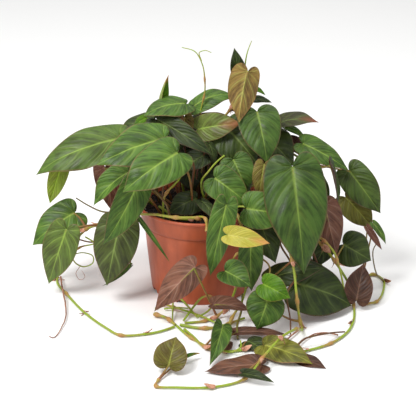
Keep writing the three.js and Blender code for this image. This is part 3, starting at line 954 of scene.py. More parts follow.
@dataclass
class Scatter:
    """Grains spread over a surface by Geometry Nodes."""

    name: str
    spacing: float
    small: float
    large: float
    flat: float
    seed: int

    def tree(self) -> bpy.types.GeometryNodeTree:
        """Build the tree: points on the surface, a lump at each, turned, scaled and dented.

        Returns:
            The node group, with inputs for spacing, grain sizes, flatness, seed and material.
        """
        group, given = new_group(
            f"scatter {self.name}",
            {
                "Surface": "Geometry", "Density": "Float", "Smallest": "Float", "Largest": "Float",
                "Flatness": "Float", "Seed": "Int", "Material": "Material",
            },
            "Grains",
        )
        add, seed = partial(add_node, group), given["Seed"]
        points = add(
            "GeometryNodeDistributePointsOnFaces",
            {"Mesh": given["Surface"], "Density": given["Density"], "Seed": seed},
            distribute_method="RANDOM",
        )
        lump = add("GeometryNodeMeshIcoSphere", {"Radius": 1.0, "Subdivisions": 2})
        turn = add(
            "FunctionNodeRandomValue",
            {0: (0.0, 0.0, 0.0), 1: (6.28, 6.28, 6.28), "Seed": seed},
            data_type="FLOAT_VECTOR",
        ).outputs[0]
        size = add(
            "FunctionNodeRandomValue",
            {2: given["Smallest"], 3: given["Largest"], "Seed": seed},
            data_type="FLOAT",
        ).outputs[1]
        shape = add("ShaderNodeCombineXYZ", {0: 1.0, 1: 0.75, 2: given["Flatness"]})
        scale = add("ShaderNodeVectorMath", {0: shape, 3: size}, operation="SCALE")
        grains = add(
            "GeometryNodeInstanceOnPoints",
            {"Points": points, "Instance": lump, "Rotation": turn, "Scale": scale},
        )
        loose = add("GeometryNodeRealizeInstances", {0: grains})
        at = add("GeometryNodeInputPosition")
        dents = add("ShaderNodeTexNoise", {"Vector": at, "Scale": 900.0, "Detail": 1.0})
        centred = add(
            "ShaderNodeVectorMath",
            {0: dents.outputs["Color"], 1: (0.5, 0.5, 0.5)},
            operation="SUBTRACT",
        )
        push = add("ShaderNodeVectorMath", {0: centred, 3: given["Largest"]}, operation="SCALE")
        dented = add("GeometryNodeSetPosition", {0: loose, "Offset": push})
        end_group(group, dented, given["Material"])
        return group

    def build(self, surface: bpy.types.Mesh, material: bpy.types.Material, slot: str) -> None:
        """Scatter the grains over a surface as one piece.

        Args:
            surface: The mesh to spread them on.
            material: The grains' material.
            slot: Not used.
        """
        values = {
            "Density": 1 / (self.spacing * MM) ** 2,
            "Smallest": self.small * MM,
            "Largest": self.large * MM,
            "Flatness": self.flat,
            "Seed": self.seed,
            "Material": material,
        }
        settle(grown(self.name, surface.copy(), self.tree(), values))


@dataclass
class PottingMix:
    """The mix in the pot: a crumbly body of peat with loose crumbs, perlite and bark on top."""

    pot: NurseryPot
    below_rim: float = 9
    crown: float = 2
    clearance: float = 0.6
    floor: float = 3.8
    rings: int = 26
    sectors: int = 120

    @property
    def top(self) -> float:
        """Height of the mix at the wall."""
        return self.pot.height - self.below_rim

    def surface_height(self, x: float, y: float) -> float:
        """Give the height of the mix at a point in plan.

        Args:
            x: Millimetres right of the pot's axis.
            y: Millimetres behind it.

        Returns:
            The height in millimetres.
        """
        r = math.hypot(x, y) / (self.pot.inner_radius(self.top) - self.clearance)
        lumps = noise.noise(Vector((x / 9, y / 9, 0)))
        grains = noise.noise(Vector((x / 3.1, y / 3.1, 4)))
        crumbs = 0.9 * lumps + 0.7 * grains
        return self.top + self.crown * max(0.0, 1 - r**2.2) + crumbs * min(1.0, 6 * (1.02 - r)) - 0.5

    def build(self) -> None:
        """Make the body of the mix and the grains on it."""
        pot, skin, clear = self.pot, Skin(), self.clearance
        edge = pot.inner_radius(self.top) - clear
        turns = np.linspace(0, 2 * math.pi, self.sectors, endpoint=False)
        rows = [[(0.0, 0.0, self.floor)] * self.sectors]
        for r, z in (
            (pot.inner_radius(self.floor) - clear, self.floor),
            (pot.body_radius - pot.wall * 1.4 - clear, pot.body_top - 1.6),
            (pot.inner_radius(pot.body_top + 1.2) - clear, pot.body_top + 1.8),
        ):
            rows.append([(r * math.cos(t), r * math.sin(t), z) for t in turns])
        top_first = len(rows)
        for share in np.linspace(1, 0, self.rings) ** 0.85:
            ring = []
            for t in turns:
                x, y = edge * share * math.cos(t), edge * share * math.sin(t)
                ring.append((x, y, self.surface_height(x, y)))
            rows.append(ring)
        points = np.array(rows)
        points[-1] = points[-1][0]
        skin.grid(points, np.zeros((len(rows), self.sectors + 1, 2)), 0, closed=True)
        peat = PEAT.material()
        body = skin.build("potting_mix", [peat], crease=180)
        settle(body, ["soil"])

        top = Skin()
        top.grid(points[top_first:], np.zeros((self.rings, self.sectors + 1, 2)), 0, closed=True)
        sheet = top.build("mix_top", [peat], crease=180)
        surface = sheet.data
        bpy.data.objects.remove(sheet, do_unlink=True)
        for grains, material in (
            (Scatter("mix_crumbs", 2.3, 0.5, 1.5, 0.8, 4), peat),
            (Scatter("mix_perlite", 11.5, 0.35, 1.0, 0.85, 11), PERLITE.material()),
            (Scatter("mix_bark", 8.5, 0.9, 2.6, 0.35, 23), BARK.material()),
        ):
            grains.build(surface, material, "soil")


# ---- stems ---------------------------------------------------------------------------------
# The vector noise starts from the clock unless it is given a seed.
SWAY_SEED = 1
# Where the solids that are planted come out of the mix.
SOIL_HEIGHT = NurseryPot.height - PottingMix.below_rim + PottingMix.crown + GAP

STEM_ROUTES: dict[str, list[tuple]] = {
    "stem_left": [
        (-44, -2), (-50, -12, 89), (-57, -18, 90), (-66, -24, 80), (-79, -25, 74),
        (-94, -20, 68), (-106, -12, 60), (-118, 0, 42), (-130, 9, 19), (-137, 8, 1),
        (-136, -4, 0), (-126, -25, 0), (-106, -63, 0), (-85, -92, 0), (-70, -107, 0),
        (-49, -105, 0), (-36, -100, 0), (-23, -91, 0),
    ],
    "stem_front_left": [
        (-38, -8), (-32, -24, 84), (-24, -40, 84), (-10, -46, 85), (0, -52, 90),
        (5, -60, 91), (6, -66, 82),
    ],
    "stem_front": [
        (20, -30), (29, -44, 90), (33, -51, 91), (37, -61, 82), (38, -66, 60),
        (34, -67, 34), (26, -70, 12), (15, -73, 1), (4, -80, 0), (-14, -84, 0),
    ],
    "stem_front_low": [
        (-14, -96, 0), (-6, -110, 0), (4, -128, 0), (20, -136, 0), (36, -134, 0),
        (52, -126, 0), (68, -124, 0),
    ],
    "stem_front_right": [
        (34, -18), (44, -30, 90), (52, -38, 91), (70, -46, 82), (82, -70, 55),
        (86, -92, 26), (89, -92, 6), (91, -95, 0), (84, -118, 12), (70, -142, 17),
        (52, -167, 10), (38, -184, 1), (13, -196, 0), (-20, -197, 0), (-36, -195, 0),
        (-34, -184, 0),
    ],
    "stem_right": [
        (42, 2), (52, -3, 90), (60, -8, 91), (72, -14, 84), (92, -22, 69),
        (112, -30, 52), (123, -38, 40), (137, -42, 17), (141, -50, 1), (138, -80, 0),
        (130, -102, 0), (114, -122, 0), (94, -134, 0), (84, -138, 0),
    ],
    "stem_far_right": [
        (38, 18), (49, 22, 90), (59, 22, 91), (84, 14, 78), (106, 0, 42),
        (118, -12, 12), (131, -18, 0), (154, 2, 0), (166, 16, 0), (174, 5, 0),
        (173, -14, 0), (163, -42, 0), (153, -46, 0),
    ],
    "stem_crown": [(2, 12), (4, 22, 110), (12, 38, 138), (28, 44, 158), (42, 40, 178)],
    "stem_crown_left": [(-14, 6), (-19, 10, 108), (-24, 12, 132), (-21, 14, 154)],
    "stem_crown_right": [(22, 6), (36, 10, 104), (54, 14, 120), (78, 22, 125), (100, 24, 112)],
}


def stem_points(name: str) -> list[Point]:
    """Give the middle line's points of a stem.

    Args:
        name: The stem's CAD node.

    Returns:
        The points in millimetres.
    """
    made = []
    for point in STEM_ROUTES[name]:
        if len(point) == 2:
            made.append((*point, SOIL_HEIGHT + STEM_RADIUS))
        else:
            x, y, z = point
            made.append((x, y, z + STEM_RADIUS + GAP))
    return made


@dataclass
class Strand:
    """One stretch of stem, root or stalk: its points, thickness and how flushed it is."""

    points: Sequence[Point]
    radius: float
    tip_radius: float | None = None
    swellings: Sequence[float] = ()
    flush: float = 0.0
    wobble: float = 0.0


@dataclass
class Vine:
    """Strands of one finish, swept by Geometry Nodes into one piece."""

    name: str
    strands: list[Strand]
    slot: str
    material: bpy.types.Material
    sides: int = 14
    step: float = 1.2
    # half lengths of a node's bulge, its ring scar and the flush round it
    bulge: float = 2.6
    scar: float = 0.7
    blush: float = 7.5

    def lines(self) -> bpy.types.Mesh:
        """Make the strands' middle lines as edges, with girth and flush at each point.

        Returns:
            The mesh of edges, in metres.
        """
        points, edges, girth, flush = [], [], [], []
        for number, strand in enumerate(self.strands):
            line = smooth_route(strand.points, self.step)[0]
            first, count = len(points), len(line)
            along = np.linspace(0, 1, count)
            run = along * float(np.sum(np.linalg.norm(np.diff(line, axis=0), axis=1)))
            end = strand.radius if strand.tip_radius is None else strand.tip_radius
            radius = strand.radius + (end - strand.radius) * along**1.3
            pink = np.full(count, strand.flush)
            for mark in strand.swellings:
                near = np.exp(-(((run - mark) / self.bulge) ** 2))
                ring = np.exp(-(((run - mark) / self.scar) ** 2))
                radius = radius * (1 + 0.85 * near - 0.18 * ring)
                flushed = 0.75 * np.exp(-(((run - mark) / self.blush) ** 2))
                pink = np.maximum(pink, flushed)
            for k, point in enumerate(line):
                sway = np.zeros(3)
                if strand.wobble:
                    seed = Vector((k * self.step / 9, number * 3.7, 1.0))
                    sway = strand.wobble * np.array(noise.noise_vector(seed)) * min(1, k / 6)
                if strand.swellings:
                    seed = Vector((k * self.step / 5, number * 5.1, 7.0))
                    radius[k] *= 1 + 0.07 * noise.noise(seed)
                spot = point + sway
                spot[2] = max(spot[2], radius[k] + 0.05)
                points.append(tuple(spot * MM))
                if k:
                    edges.append((first + k - 1, first + k))
            girth.extend(radius * MM)
            flush.extend(pink)
        mesh = bpy.data.meshes.new(self.name)
        mesh.from_pydata(points, edges, [])
        for name, values in (("girth", girth), ("flush", flush)):
            mesh.attributes.new(name, "FLOAT", "POINT").data.foreach_set("value", values)
        return mesh

    def tree(self) -> bpy.types.GeometryNodeTree:
        """Build the tree: lines to curves, a circle swept along them by the girth, closed ends.

        Returns:
            The node group, with inputs for the number of sides and the material.
        """
        group, given = new_group(
            f"sweep {self.name}",
            {"Lines": "Geometry", "Sides": "Int", "Material": "Material"},
            "Stems",
        )
        add = partial(add_node, group)
        curves = add("GeometryNodeMeshToCurve", {0: given["Lines"]})
        ring = add("GeometryNodeCurvePrimitiveCircle", {"Resolution": given["Sides"], "Radius": 1.0})
        girth = add("GeometryNodeInputNamedAttribute", {"Name": "girth"}, data_type="FLOAT")
        swept = add(
            "GeometryNodeCurveToMesh",
            {"Curve": curves, "Profile Curve": ring, "Scale": girth.outputs[0], "Fill Caps": True},
        )
        rounded = add("GeometryNodeSetShadeSmooth", {0: swept, "Shade Smooth": True})
        end_group(group, rounded, given["Material"])
        return group

    def build(self, nodes: Iterable[str] = ()) -> None:
        """Make the piece.

        Args:
            nodes: The CAD nodes that it stands for.
        """
        values = {"Sides": self.sides, "Material": self.material}
        made = grown(self.name, self.lines(), self.tree(), values)
        made.data.set_sharp_from_angle(angle=math.radians(60))
        settle(made, nodes)


# ---- leaves --------------------------------------------------------------------------------
@dataclass(frozen=True)
class Node:
    """A leaf's place on a stem: the stem and the number of its route point."""

    stem: str
    index: int


@dataclass(frozen=True)
class Soil:
    """A leaf's place in the potting mix, in plan."""

    x: float
    y: float


# Half of the blade's outline from the notch at the petiole to the tip: along the midrib as a
# share of the length, and out from it as a share of the half width.
HEART = [
    (0.0, 0.0), (-0.04, 0.06), (-0.09, 0.18), (-0.125, 0.36), (-0.128, 0.54), (-0.09, 0.73),
    (-0.015, 0.88), (0.095, 0.965), (0.225, 1.0), (0.36, 0.98), (0.49, 0.9), (0.61, 0.765),
    (0.72, 0.58), (0.81, 0.395), (0.885, 0.225), (0.94, 0.105), (0.975, 0.036), (1.0, 0.0),
]


@dataclass(frozen=True)
class Leaf:
    """One leaf: where it grows, where its blade lies and how it looks.

    The blade runs from base to tip, faces says which way its upper face looks (bearing, rise),
    arch and cup lift its midrib and its margins, and bow pushes its petiole aside.
    tone lightens or darkens it: partly its own tone, partly painted shade on leaves
    deep in the crown and painted light on bright young lime leaves. Warm and tinge redden it
    and colour its tip. Look, where given, is the finish of another kind. Veins says how clearly
    the side veins show.
    """

    name: str
    grows_from: Node | Soil
    base: Point
    tip: Point
    faces: tuple[float, float]
    width: float
    arch: float
    cup: float
    kind: Kind
    bow: Point = (0, 0, 0)
    tone: float = 0.0
    warm: float = 0.0
    tinge: float = 0.0
    ripple: float = 1.0
    veins: float = 1.0
    look: Kind | None = None


@dataclass
class Blade:
    """Works out a leaf's mesh."""

    leaf: Leaf
    rows: int = 40
    thickness: float = 0.45
    # depths of the relief, as shares of the width
    quilting: float = 0.034
    rippling: float = 0.028
    groove: float = 0.03
    rolled_edge: float = 0.012
    lumps: float = 0.018
    # columns across half the blade, closest at the midrib and the margin
    columns: tuple[float, ...] = (
        0, 0.028, 0.065, 0.12, 0.2, 0.3, 0.41, 0.53, 0.65, 0.76, 0.86, 0.94, 1.0,
    )

    def __post_init__(self) -> None:
        """Settle the blade's own axes."""
        leaf = self.leaf
        self.base = np.array(leaf.base, float)
        run = np.array(leaf.tip, float) - self.base
        self.length = float(np.linalg.norm(run))
        self.axis = run / self.length
        look = aim(*leaf.faces)
        self.face = unit(look - self.axis * float(look @ self.axis))
        self.side = np.cross(self.axis, self.face)
        self.seed = sum(ord(c) * (i + 3) for i, c in enumerate(leaf.name)) % 997
        self.chance = np.random.default_rng(self.seed).uniform(-1, 1, 4)

    def outline(self) -> np.ndarray:
        """Give half of the margin, evenly spaced from notch to tip, in millimetres."""
        half = self.leaf.width / 2
        points = [
            (x * self.length, y * half * (1 + 0.03 * math.sin(5 * x + self.seed)), 0.0)
            for x, y in HEART
        ]
        line, _ = smooth_route(points, 0.4)
        return evenly(line, self.rows)[1:, :2]

    def lift(self, x: np.ndarray, y: np.ndarray, s: np.ndarray, a: np.ndarray) -> np.ndarray:
        """Give the blade's height above its flat plane.

        Args:
            x: Distance from the petiole along the midrib.
            y: Distance from the midrib, signed.
            s: The row's place along the margin, 0 to 1.
            a: The place across the row, 0 to 1.

        Returns:
            Heights in millimetres.
        """
        leaf, width = self.leaf, self.leaf.width
        t = np.clip(x / self.length, -0.2, 1)
        reach = np.abs(y) / (width / 2)
        arch = leaf.arch * 4 * t * (1 - t) * np.where(t < 0, 0.6, 1)
        cup = leaf.cup * 1.1 * reach**1.5
        quilt = self.quilting * width * (np.abs(np.sin(math.pi * LATERAL_VEINS * s)) ** 0.7 - 0.45)
        quilt = quilt * np.sin(math.pi * np.clip(a, 0, 1) ** 0.8) ** 0.8 * (1.05 - s) ** 0.35
        side = np.where(y < 0, 1.9, 0.0)
        wave = np.sin(2 * math.pi * (2.3 * s + 0.13 * self.seed) + side)
        ripple = self.rippling * width * leaf.ripple * a**2.6 * wave * np.sin(math.pi * s) ** 0.5
        valley = -self.groove * width * np.exp(-((reach / 0.16) ** 2)) * (1 - t)
        droop = 0.05 * self.length * max(0, self.chance[0])
        curl = -droop * np.clip((t - 0.66) / 0.34, 0, 1) ** 2
        roll = -self.rolled_edge * width * a**7
        twist = y * math.sin(math.radians(9 * self.chance[1])) * t
        uneven = np.array([
            noise.noise(Vector((float(p) / 13, float(q) / 13, self.seed * 0.37)))
            for p, q in zip(x.ravel(), y.ravel(), strict=True)
        ]).reshape(x.shape)
        smooth = arch + cup + quilt + ripple + valley + curl + roll + twist
        return smooth + self.lumps * width * uneven

    def spot(self, x: np.ndarray, y: np.ndarray, z: np.ndarray) -> np.ndarray:
        """Turn the blade's own coordinates to the frame's, in millimetres."""
        t = np.clip(x / self.length, 0, 1)
        y = y + 0.012 * self.chance[2] * self.length * 4 * t * (1 - t)
        return (
            self.base
            + x[..., None] * self.axis
            + y[..., None] * self.side
            + z[..., None] * self.face
        )

    def halves(self, skin: Skin) -> None:
        """Add both halves of the blade, above and below, and its margin.

        Args:
            skin: The mesh under construction.
        """
        margin = self.outline()
        columns = np.array(self.columns)
        s = np.linspace(0, 1, self.rows + 1)[1:]
        reach = np.clip((margin[:, 0] / self.length - 0.02) / 0.98, 0, 1) ** 3.0
        stalk = np.stack([reach * self.length, np.zeros_like(reach)], axis=1)
        gap = margin - stalk
        control = stalk + np.stack([0.4 * gap[:, 0], 0.72 * gap[:, 1]], axis=1)
        a = columns[None, :, None]
        plan = (
            (1 - a) ** 2 * stalk[:, None]
            + 2 * a * (1 - a) * control[:, None]
            + a**2 * margin[:, None]
        )
        across = np.broadcast_to(columns, plan.shape[:2])
        rows = np.broadcast_to(s[:, None], plan.shape[:2])
        for sign in (1, -1):
            x, y = plan[..., 0], plan[..., 1] * sign
            z = self.lift(x, y, rows, across)
            thin = self.thickness * (1 - 0.55 * across**3) * (1 - 0.4 * rows**4)
            close = np.exp(-((np.abs(y) / 0.75) ** 2)) * (1 - np.clip(x / self.length, 0, 1)) ** 0.5
            above = self.spot(x, y, z + thin / 2 - 0.22 * close)
            below = self.spot(x, y, z - thin / 2 - 0.5 * close)
            uvs = np.stack([rows, 0.5 + 0.5 * sign * across], axis=-1)
            top = skin.grid(above, uvs, 0, flip=sign < 0)
            under = skin.grid(below, uvs, 1, flip=sign > 0)
            edge = [tuple(uv) for uv in uvs[:, -1]]
            skin.band(list(top[:, -1]), list(under[:, -1]), edge, 0, flip=sign < 0)
            notch = [tuple(uv) for uv in uvs[0]]
            skin.band(list(top[0]), list(under[0]), notch, 0, flip=sign > 0)

    def foot(self, towards: np.ndarray) -> np.ndarray:
        """Give the point where the petiole leaves its stem or the mix.

        Args:
            towards: The point that the petiole first heads for.

        Returns:
            The point in millimetres.
        """
        home = self.leaf.grows_from
        if isinstance(home, Soil):
            return np.array([home.x, home.y, SOIL_HEIGHT + PETIOLE_RADIUS])
        node = np.array(stem_points(home.stem)[home.index])
        return node + unit(towards - node) * INTERNODE_RADIUS

    def petiole(self, skin: Skin) -> None:
        """Add the petiole, from its foot to under the midrib.

        Args:
            skin: The mesh under construction.
        """
        def under(x: float) -> np.ndarray:
            """Give a point of the midrib's underside."""
            at = (np.array([x]), np.zeros(1), np.full(1, 0.02 + x / self.length), np.zeros(1))
            height = self.lift(*at)
            return self.spot(at[0], at[1], height - self.thickness - 0.25)[0]

        joint = under(0.03 * self.length)
        bow = np.array(self.leaf.bow, float)
        middle = (self.foot(joint) + joint) / 2 + bow
        start = self.foot(middle)
        heading = unit(middle - start)
        sunk = 5.0 if isinstance(self.leaf.grows_from, Soil) else 1.6
        length = float(np.linalg.norm(joint - start) + np.linalg.norm(bow))
        steps = max(10, round(length / 2.2))
        t = np.linspace(0, 1, steps)[:, None]
        stalk = (1 - t) ** 2 * start + 2 * t * (1 - t) * middle + t**2 * joint
        rib = np.array([under(share * self.length) for share in (0.08, 0.15, 0.24, 0.36)])
        line = np.vstack([start - heading * sunk, stalk, rib])
        shares, swell = [0, 0.08, 0.5, 0.86, 0.94, 1], [1.35, 1.1, 0.9, 0.85, 1.05, 0.95]
        radii = np.interp(np.linspace(0, 1, steps), shares, swell)
        scale = min(1.0, 0.72 + self.leaf.width / 140)
        radii = np.concatenate([[1.3], radii, [0.72, 0.5, 0.32, 0.12]]) * scale
        skin.tube(line, radii, 10, 2)

    def build(self, materials: Sequence[bpy.types.Material]) -> bpy.types.Object:
        """Make the leaf.

        Args:
            materials: Those of the upper face, the lower face and the petiole.

        Returns:
            The object.
        """
        skin, leaf = Skin(), self.leaf
        self.halves(skin)
        self.petiole(skin)
        piece = skin.build(leaf.name.replace("leaf_", "foliage_"), materials, crease=70)
        mood = piece.data.attributes.new("mood", "FLOAT_COLOR", "POINT")
        values = [leaf.tone + self.chance[3] * 0.07, leaf.warm, leaf.tinge, leaf.veins]
        mood.data.foreach_set("color", values * len(piece.data.vertices))
        return piece


LEAVES = [
    # left side, above the pot
    Leaf("leaf_left_broad", Node("stem_crown_left", 2), (-74, 15, 142), (-152, -2, 114), (-100, 55),
        44, 8, -2, Kind.GREEN, bow=(0, 6, 4), tone=0.1, veins=0.8, warm=0.08),
    Leaf("leaf_left_upper", Node("stem_crown_left", 2), (-32, -15, 153), (-92, -38, 136), (-95, 50),
        44, 6, -2, Kind.GREEN, bow=(0, -4, -4), tone=0.25),
    Leaf("leaf_left_front", Soil(-8, -26), (-20, -40, 149), (-68, -66, 122), (-80, 45), 42, 7, -2,
        Kind.GREEN, bow=(10, 4, 12), tone=0.18, veins=1.0),
    Leaf("leaf_left_lime", Node("stem_crown_left", 1), (-129, 16, 116), (-142, 12, 77), (-90, 10), 18,
        3, 2, Kind.LIME, bow=(0, 4, 6), tone=1.1, warm=0.35),
    Leaf("leaf_left_behind", Soil(-30, 6), (-90, 30, 108), (-84, 24, 64), (90, 10), 26, 4, 2,
        Kind.BROWN, bow=(0, 6, 6), tone=0.35),
    Leaf("leaf_left_folded", Soil(-26, -12), (-66, -14, 120), (-98, -22, 90), (-130, 40), 24, 4, 6,
        Kind.GREEN, bow=(-6, 4, 8), tinge=0.0, tone=0.35),
    Leaf("leaf_left_hanging", Soil(-36, -24), (-55, -44, 122), (-87, -62, 68), (-70, 25), 30, 6, 2,
        Kind.DARK, bow=(-4, 0, 10), tone=-0.05, veins=0.6, look=Kind.GREEN),
    Leaf("leaf_left_heart", Node("stem_left", 3), (-73, -38, 80), (-86, -46, 20), (-95, 12), 40, 5, -1,
        Kind.DARK, warm=0.1, tone=0.75, veins=1.5),
    Leaf("leaf_left_outer", Node("stem_left", 6), (-118, 4, 72), (-158, -8, 44), (-100, 40), 38, 5, -1,
        Kind.GREEN, bow=(0, 4, 4), tone=0.3, veins=1.5),
    Leaf("leaf_left_low", Node("stem_left", 5), (-123, -28, 69), (-142, -24, 11), (-100, 12), 32, 4, 1,
        Kind.OLIVE, bow=(0, -4, 4), look=Kind.GREEN, warm=0.15, tone=0.3, veins=1.6),
    # top of the crown
    Leaf("leaf_top_rolled", Node("stem_crown_left", 2), (-38, 37, 169), (-29, 37, 196), (-40, 0), 9,
        -2, 5, Kind.OLIVE, bow=(-8, 8, 6), tinge=1, look=Kind.LIME, tone=0.2),
    Leaf("leaf_top_left", Node("stem_crown_left", 3), (-14, 27, 172), (-52, 8, 166), (-95, 72), 32, 4,
        -2, Kind.GREEN, bow=(4, 2, 0), tone=0.2, veins=0.5),
    Leaf("leaf_top_arched", Node("stem_crown", 2), (-6, 46, 163), (34, 50, 171), (-90, 65), 24, 7, -2,
        Kind.GREEN, tone=0.2, veins=0.6),
    Leaf("leaf_top_tall", Node("stem_crown", 4), (43, 28, 202), (35, 0, 162), (95, 25), 30, 3, 2,
        Kind.OLIVE, tone=0.2),
    Leaf("leaf_top_spike", Node("stem_crown", 4), (36, 42, 194), (31, 40, 221), (-90, 5), 14, 2, 2,
        Kind.DARK, bow=(0, 4, 0)),
    Leaf("leaf_top_heart", Node("stem_crown", 3), (52, 16, 168), (61, -16, 128), (-85, 35), 40, 6, -2,
        Kind.GREEN, bow=(0, 0, 5), tone=-0.3, veins=0.4),
    Leaf("leaf_top_pale", Node("stem_crown", 1), (-3, 22, 148), (38, 14, 157), (-95, 25), 26, 4, 1,
        Kind.LIME, bow=(-6, -4, 0), warm=0.25, tinge=1, look=Kind.GREEN, tone=0.5),
    Leaf("leaf_top_long", Node("stem_crown_left", 3), (-40, 14, 161), (12, -12, 135), (-120, 45), 22,
        4, 2, Kind.DARK, bow=(-8, 14, 4), tone=-0.1, veins=0.5),
    Leaf("leaf_top_far_right", Node("stem_crown", 3), (72, 34, 150), (110, 28, 153), (-90, 72), 24, 4,
        1, Kind.DARK, tinge=1, warm=0.2),
    # middle of the crown
    Leaf("leaf_centre_broad", Soil(18, 15), (24, 22, 150), (53, 8, 119), (-100, 40), 46, 5, -1,
        Kind.DARK, bow=(2, 0, 0), tone=0.3, veins=0.3),
    Leaf("leaf_centre_small", Soil(16, -8), (30, -16, 133), (44, -26, 103), (-90, 30), 30, 4, -1,
        Kind.GREEN, bow=(0, 4, 8), tone=-0.15, veins=0.4),
    Leaf("leaf_centre_left", Soil(4, -20), (13, -34, 122), (45, -41, 98), (-100, 35), 32, 4, -1,
        Kind.GREEN, bow=(-6, 2, 8), tone=0.1, veins=0.5),
    Leaf("leaf_centre_right", Soil(28, -18), (41, -59, 103), (80, -60, 98), (-90, 25), 35, 4, -1,
        Kind.GREEN, bow=(0, 6, 6), tone=0.0, veins=0.6),
    Leaf("leaf_centre_lime", Soil(38, -8), (57, -38, 137), (52, -44, 108), (-90, 15), 18, 3, 1,
        Kind.LIME, bow=(0, 6, 4), warm=0.2, look=Kind.OLIVE, tone=0.15),
    Leaf("leaf_right_upper", Node("stem_crown_right", 2), (58, 30, 139), (87, 8, 117), (-80, 40), 38,
        5, -1, Kind.DARK, veins=0.4, tone=0.15),
    Leaf("leaf_right_great", Soil(44, -12), (82, -44, 137), (92, -84, 50), (-88, 28), 55, 10, -3,
        Kind.GREEN, bow=(6, 4, 4), tone=-0.55, veins=0.7, ripple=1.8),
    # in front of the pot
    Leaf("leaf_front_brown", Node("stem_front", 7), (-4, -80, 56), (-41, -84, 14), (90, -15), 28, 4, 2,
        Kind.BROWN, tone=0.2),
    Leaf("leaf_front_bright", Node("stem_front_left", 6), (23, -68, 110), (9, -73, 42), (-90, 10), 23,
        5, 1, Kind.GREEN, bow=(3, -2, 2), tone=0.2),
    Leaf("leaf_front_yellow", Node("stem_front", 3), (24, -87, 90), (61, -92, 84), (-90, 30), 18, 3, 2,
        Kind.YELLOW, bow=(7, -2, 0), tinge=0.7),
    Leaf("leaf_front_hanging", Node("stem_front", 3), (45, -70, 75), (46, -74, 28), (-90, 5), 22, 4, 2,
        Kind.GREEN, bow=(8, 2, -2), tone=0.1, veins=0.5),
    Leaf("leaf_front_dark", Node("stem_front_right", 2), (50, -46, 95), (68, -61, 50), (-80, 12), 32,
        4, -1, Kind.DARK),
    Leaf("leaf_front_folded", Node("stem_front", 5), (22, -84, 54), (45, -96, 44), (-90, 50), 26, 2, 5,
        Kind.GREEN, tone=-0.1),
    Leaf("leaf_front_tucked", Node("stem_front", 6), (12, -86, 22), (46, -90, 17), (90, 20), 18, 3, 2,
        Kind.BROWN),
    Leaf("leaf_front_lime", Node("stem_front", 4), (55, -94, 46), (79, -106, 38), (-90, 30), 24, 3, 1,
        Kind.LIME, bow=(26, 4, 8), tone=-0.05, veins=0.6),
    Leaf("leaf_front_low", Node("stem_front_right", 6), (60, -98, 34), (50, -108, 8), (-90, 15), 34, 3,
        -1, Kind.GREEN, bow=(-4, -3, -8)),
    # lying on the floor in front
    Leaf("leaf_floor_narrow", Node("stem_front_low", 2), (20, -112, 14), (9, -162, 3), (-20, 60), 18,
        4, 3, Kind.GREEN),
    Leaf("leaf_floor_brown", Node("stem_front_right", 10), (52, -162, 4), (4, -172, 2.5), (-90, 78),
        26, 2, 0, Kind.BROWN, tone=0.15, ripple=1.6),
    Leaf("leaf_floor_olive", Node("stem_front_low", 5), (56, -134, 7), (96, -160, 3), (-110, 72), 30,
        3, 0, Kind.OLIVE, tone=0.55),
    Leaf("leaf_floor_heart", Node("stem_front_right", 15), (-26, -172, 8), (-20, -150, 24), (-95, 40),
        28, 3, 2, Kind.OLIVE, tone=-0.05, warm=0.15),
    # right side
    Leaf("leaf_right_slim", Node("stem_crown_right", 3), (95, 20, 135), (138, 6, 113), (-95, 50), 24,
        3, 0, Kind.GREEN, tone=0.1, veins=0.5),
    Leaf("leaf_right_edge", Node("stem_crown_right", 4), (101, -12, 124), (118, -26, 88), (-20, 20),
        22, 3, 2, Kind.DARK),
    Leaf("leaf_right_thin", Node("stem_crown_right", 4), (119, -10, 126), (125, -18, 76), (-5, 10), 22,
        3, 2, Kind.DARK, bow=(0, 0, -6)),
    Leaf("leaf_right_outer", Node("stem_crown_right", 4), (139, 20, 108), (169, 6, 70), (-105, 30), 32,
        4, 1, Kind.OLIVE, look=Kind.GREEN, tone=-0.5, veins=0.3, warm=0.08),
    Leaf("leaf_right_olive", Node("stem_far_right", 4), (137, 22, 80), (163, 12, 52), (-95, 25), 28, 3,
        1, Kind.OLIVE, tone=-0.1),
    Leaf("leaf_right_brown", Node("stem_right", 5), (112, -36, 98), (124, -46, 50), (85, 10), 26, 3, 2,
        Kind.BROWN, tone=-0.15),
    Leaf("leaf_right_round", Node("stem_right", 6), (132, -24, 52), (158, -30, 38), (-90, 25), 34, 3,
        1, Kind.DARK),
    Leaf("leaf_right_maroon", Node("stem_far_right", 12), (143, -54, 9), (150, -36, 38), (-95, 15), 26,
        2, 2, Kind.BROWN, tone=-0.4),
    Leaf("leaf_right_low", Node("stem_front_right", 4), (87, -64, 32), (139, -58, 6), (-60, 38), 52, 6,
        -2, Kind.DARK, tone=-0.15, veins=0.8),
]


